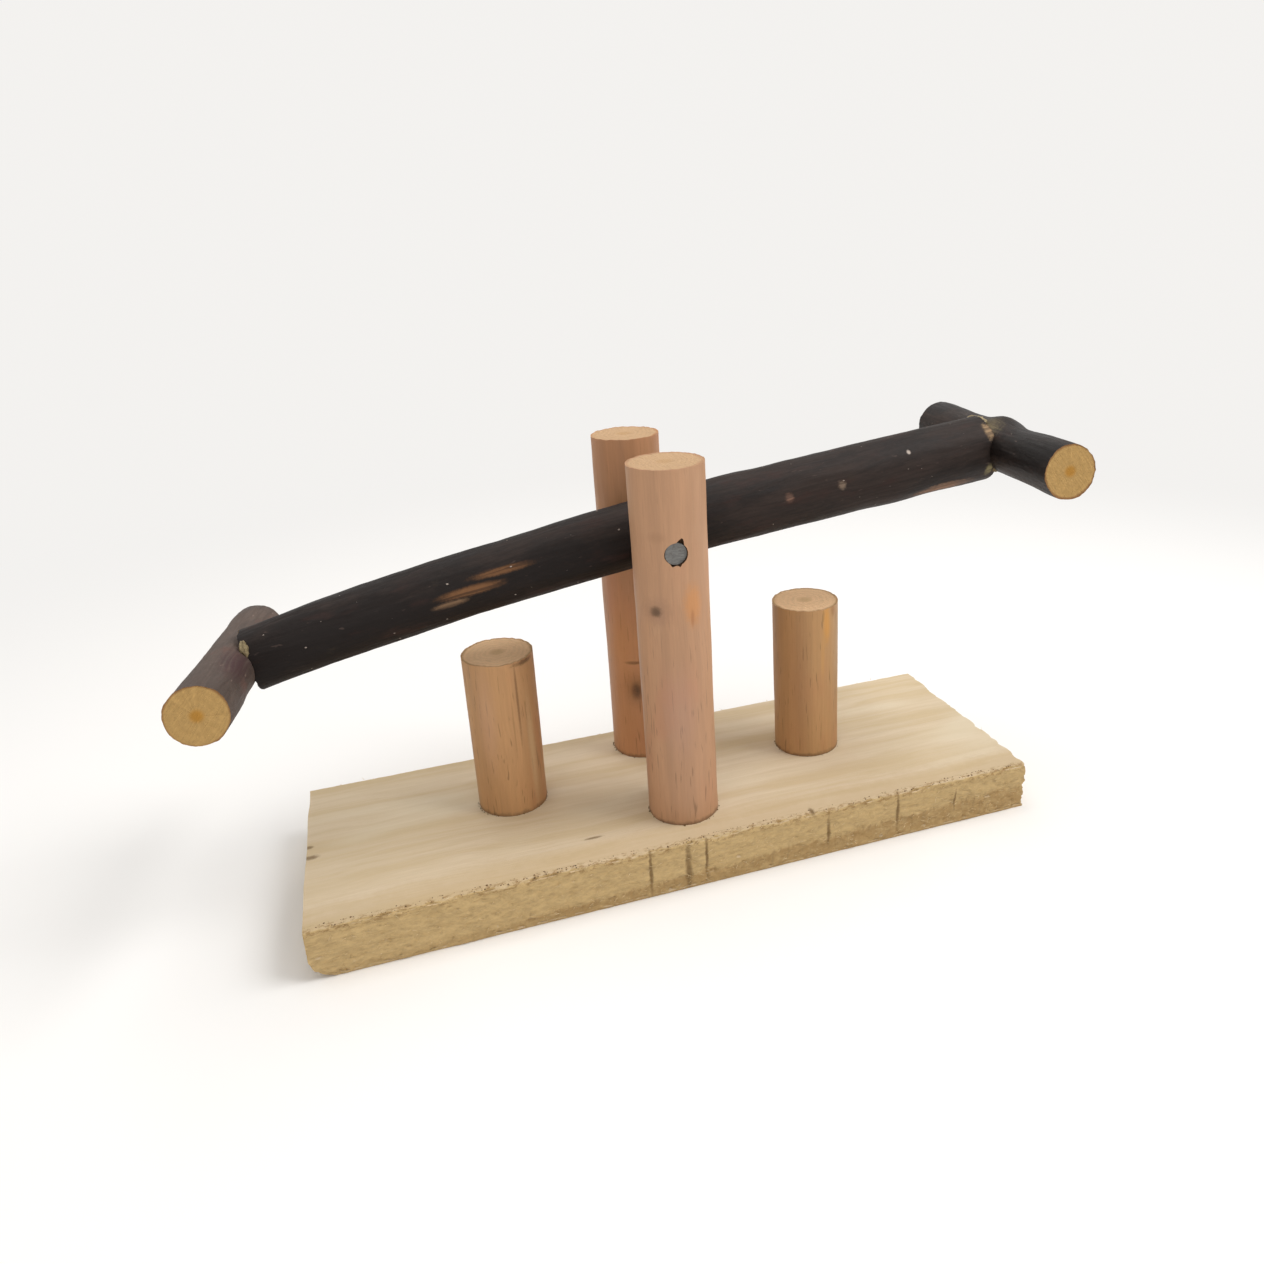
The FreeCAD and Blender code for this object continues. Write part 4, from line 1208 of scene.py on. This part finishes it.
class SEESAW_OT_branch(bpy.types.Operator):
    """Makes the rocking branch with its two perches and the dried glue between them"""
    bl_idname = "seesaw.branch"
    bl_label = "Branch and perches"

    def execute(self, context):
        settings = context.scene.seesaw_branch
        made = [make_beam(settings)]
        for side in ("left", "right"):
            made.append(make_perch(side, settings))
        glue = grain_material("dried_glue", (0.34, 0.27, 0.15), (0.16, 0.12, 0.065), 0.5, 0.6)
        for name, place, size, seed in (
                ("glue_top_right", (120.2, 7.0, 123.6), (2.9, 4.6, 2.3), 3),
                ("glue_front_right", (119.3, -6.0, 112.5), (1.6, 1.6, 3.2), 5),
                ("glue_front_left", (-119.6, -3.6, 86.6), (1.2, 1.8, 2.6), 7)):
            piece = lump(name, Vector(place) * MM, Vector(size) * MM, glue, seed)
            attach(piece, SEESAW)
        specks = grain_material("pale_lenticel", (0.50, 0.43, 0.37), (0.24, 0.19, 0.16), 1.2)
        tree = make_lenticel_tree()
        for source, density in zip(made, (1.0, 0.35, 0.8)):
            piece = bpy.data.objects.new(f"{source.name}_lenticels", source.data.copy())
            bpy.context.scene.collection.objects.link(piece)
            run_tree(piece, tree, {"Density": settings.lenticels * density / 1000 / (MM * MM),
                                   "Size": 0.55 * MM, "Spacing": 2.2 * MM, "Seed": 5,
                                   "Material": specks})
            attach(piece, SEESAW)
        return {"FINISHED"}


class SEESAW_OT_hardware(bpy.types.Operator):
    """Gives the pin, screws and nails their steel"""
    bl_idname = "seesaw.hardware"
    bl_label = "Pin, screws and nails"

    def execute(self, context):
        steel = steel_material()
        for name, node in frame["nodes"].items():
            if name == "pivot_pin" or "screw" in name or "nail" in name:
                node.data.materials.clear()
                node.data.materials.append(steel)
        return {"FINISHED"}


class SEESAW_OT_debris(bpy.types.Operator):
    """Strews sawdust crumbs and torn fibres over the stand"""
    bl_idname = "seesaw.debris"
    bl_label = "Sawdust and fibres"

    def execute(self, context):
        settings = context.scene.seesaw_debris
        low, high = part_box("base_board")
        lines = []
        for node in POST_LOOKS:
            post_low, post_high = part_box(node)
            centre = (post_low + post_high) / 2
            radius = (post_high.x - post_low.x) / 2 + 0.15 * MM
            lines.append(arc(centre, radius, post_low.z + 0.1 * MM, 0.0, 2 * math.pi))
            if node == "stop_post_left":
                lines.append(arc(centre, radius - 0.5 * MM, post_high.z - 0.5 * MM, 3.4, 6.2))
        for repeat in range(2):
            lines.append([Vector((x, low.y + 0.9 * MM + repeat * 1.3 * MM, high.z - 0.02 * MM))
                          for x in np.linspace(low.x + 4 * MM, high.x - 3 * MM, 60)])
        crumbs = guide_edges("wood_crumbs", lines)
        dark = grain_material("dark_crumb", (0.22, 0.13, 0.06), (0.05, 0.03, 0.015), 1.4)
        run_tree(crumbs, make_crumb_tree(), {"Spacing": settings.crumb_spacing, "Size": settings.crumb * 1.6,
                                             "Spread": 0.35 * MM, "Seed": settings.seed, "Material": dark})
        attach(crumbs, STAND)
        pale = grain_material("pale_fibre", (0.74, 0.60, 0.38), (0.50, 0.36, 0.18), 0.3)
        tree = make_fibre_tree()
        inset = 0.35 * MM
        foot = low.z + 1.9 * MM
        wide, deep, tall = high.x - low.x, high.y - low.y, high.z - low.z
        guides = (
            ("front_fibres", (low.x + 3 * MM, low.y + inset, foot), (wide - 5 * MM, 0, 0),
             (0, 0, tall - 1.5 * MM), (1.0, 0.0, 0.0), 1.0),
            ("right_fibres", (high.x - 0.9 * MM, low.y + 2 * MM, foot), (0, deep - 4 * MM, 0),
             (0, 0, tall - 2 * MM), (0.2, 0.5, 0.5), 0.6),
            ("back_fibres", (high.x - 3 * MM, high.y - inset, foot), (6 * MM - wide, 0, 0),
             (0, 0, tall - 1.5 * MM), (1.0, 0.0, 0.0), 0.6),
        )
        for number, (name, corner, across, up, lean, share) in enumerate(guides):
            piece = guide_faces(name, Vector(corner), Vector(across), Vector(up), 24, 4)
            run_tree(piece, tree, {"Density": settings.fibres * share / 1000 / (MM * MM),
                                   "Length": settings.fibre, "Thickness": 0.085 * MM, "Lean": lean,
                                   "Seed": settings.seed + number, "Material": pale})
            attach(piece, STAND)
        return {"FINISHED"}


# Soft lamps: (name, place and side in metres, power in watts).
LAMPS = (("key", (0.85, -0.35, 1.15), 0.75, 13.0), ("top", (-0.15, 0.25, 1.35), 1.1, 8.0),
         ("fill", (-0.55, -1.15, 0.55), 1.0, 2.6))
# How far the camera's frame is moved sideways and down, as shares of its width.
LENS_SHIFT = (-0.0402, -0.0563)


class SEESAW_OT_stage(bpy.types.Operator):
    """Sets the floor, the soft studio light and the camera"""
    bl_idname = "seesaw.stage"
    bl_label = "Stage"

    def execute(self, context):
        settings = context.scene.seesaw_stage
        scene = context.scene
        make_floor(settings)
        make_world(settings)
        for name, place, size, power in LAMPS:
            lamp = bpy.data.lights.new(name, "AREA")
            lamp.size = size
            lamp.energy = power
            held = bpy.data.objects.new(name, lamp)
            held.location = place
            aim = Vector((0, 0, 0.06)) - Vector(place)
            held.rotation_euler = aim.to_track_quat("-Z", "Y").to_euler()
            scene.collection.objects.link(held)
        camera = bpy.data.cameras.new("camera")
        camera.lens = settings.lens
        camera.sensor_width = 36.0
        camera.shift_x, camera.shift_y = LENS_SHIFT
        camera.clip_start = 0.01
        held = bpy.data.objects.new("camera", camera)
        scene.collection.objects.link(held)
        heading = Vector((math.sin(settings.azimuth) * math.cos(settings.drop),
                          math.cos(settings.azimuth) * math.cos(settings.drop), -math.sin(settings.drop)))
        right = heading.cross(Vector((0, 0, 1))).normalized()
        up = right.cross(heading)
        right, up = (right * math.cos(settings.roll) - up * math.sin(settings.roll),
                     up * math.cos(settings.roll) + right * math.sin(settings.roll))
        turn = Matrix((right, up, -heading)).transposed()
        held.matrix_world = Matrix.Translation(settings.place) @ turn.to_4x4()
        scene.camera = held
        scene.view_settings.view_transform = "Standard"
        return {"FINISHED"}


def make_floor(settings):
    """A wide pale floor that fades into the background colour away from the object."""
    count, radius = 96, 6.0
    rim = [(radius * math.cos(2 * math.pi * i / count), radius * math.sin(2 * math.pi * i / count), 0.0)
           for i in range(count)]
    mesh = bpy.data.meshes.new("floor")
    mesh.from_pydata(rim, [], [tuple(range(count))])
    made = bpy.data.objects.new("floor", mesh)
    bpy.context.scene.collection.objects.link(made)
    material = bpy.data.materials.new("pale_floor")
    material.use_nodes = True
    tree = material.node_tree
    tree.nodes.clear()
    matte = add(tree, "ShaderNodeBsdfDiffuse", {"Color": (*settings.backdrop, 1.0)})
    glow = add(tree, "ShaderNodeEmission", {"Color": (*settings.backdrop, 1.0), "Strength": 1.0})
    place = add(tree, "ShaderNodeTexCoord").outputs["Object"]
    away = ramp(tree, vectors(tree, "LENGTH", place), 0.16, 0.55)
    seen = add(tree, "ShaderNodeLightPath").outputs["Is Camera Ray"]
    either = add(tree, "ShaderNodeMixShader", {0: times(tree, away, seen),
                                               1: matte.outputs[0], 2: glow.outputs[0]})
    add(tree, "ShaderNodeOutputMaterial", {"Surface": either.outputs[0]})
    mesh.materials.append(material)


def make_world(settings):
    """An even pale surround: the background colour where it is seen, dimmer where it lights."""
    world = bpy.data.worlds.new("surround")
    world.use_nodes = True
    tree = world.node_tree
    tree.nodes.clear()
    path = add(tree, "ShaderNodeLightPath").outputs
    light = add(tree, "ShaderNodeBackground", {"Color": (1.0, 0.98, 0.95, 1.0), "Strength": 0.42})
    seen = add(tree, "ShaderNodeBackground", {"Color": (*settings.backdrop, 1.0), "Strength": 1.0})
    shown = maths(tree, "MAXIMUM", path["Is Camera Ray"], path["Is Glossy Ray"])
    either = add(tree, "ShaderNodeMixShader", {0: shown, 1: light.outputs[0],
                                               2: seen.outputs[0]})
    add(tree, "ShaderNodeOutputWorld", {"Surface": either.outputs[0]})
    bpy.context.scene.world = world


OPERATORS = (SEESAW_OT_plank, SEESAW_OT_dowels, SEESAW_OT_branch, SEESAW_OT_hardware, SEESAW_OT_debris,
             SEESAW_OT_stage)
SETTINGS = {"seesaw_plank": SeesawPlank, "seesaw_dowels": SeesawDowels, "seesaw_branch": SeesawBranch,
            "seesaw_debris": SeesawDebris, "seesaw_stage": SeesawStage}


class SEESAW_PT_panel(bpy.types.Panel):
    """Lists the seesaw's pieces in the 3D view's sidebar"""
    bl_idname = "SEESAW_PT_panel"
    bl_label = "Pet seesaw"
    bl_space_type = "VIEW_3D"
    bl_region_type = "UI"
    bl_category = "Seesaw"

    def draw(self, context):
        for operator in OPERATORS:
            self.layout.operator(operator.bl_idname)
        for name, group in SETTINGS.items():
            box = self.layout.box()
            for key in group.__annotations__:
                box.prop(getattr(context.scene, name), key)


def register():
    for group in (*SETTINGS.values(), *OPERATORS, SEESAW_PT_panel):
        bpy.utils.register_class(group)
    for name, group in SETTINGS.items():
        setattr(bpy.types.Scene, name, PointerProperty(type=group))


def unregister():
    for name in SETTINGS:
        delattr(bpy.types.Scene, name)
    for group in reversed((*SETTINGS.values(), *OPERATORS, SEESAW_PT_panel)):
        bpy.utils.unregister_class(group)


def main():
    register()
    make_groups()
    bpy.ops.seesaw.plank()
    bpy.ops.seesaw.dowels()
    bpy.ops.seesaw.branch()
    bpy.ops.seesaw.hardware()
    bpy.ops.seesaw.debris()
    bpy.ops.seesaw.stage()


if __name__ == "__main__":
    main()
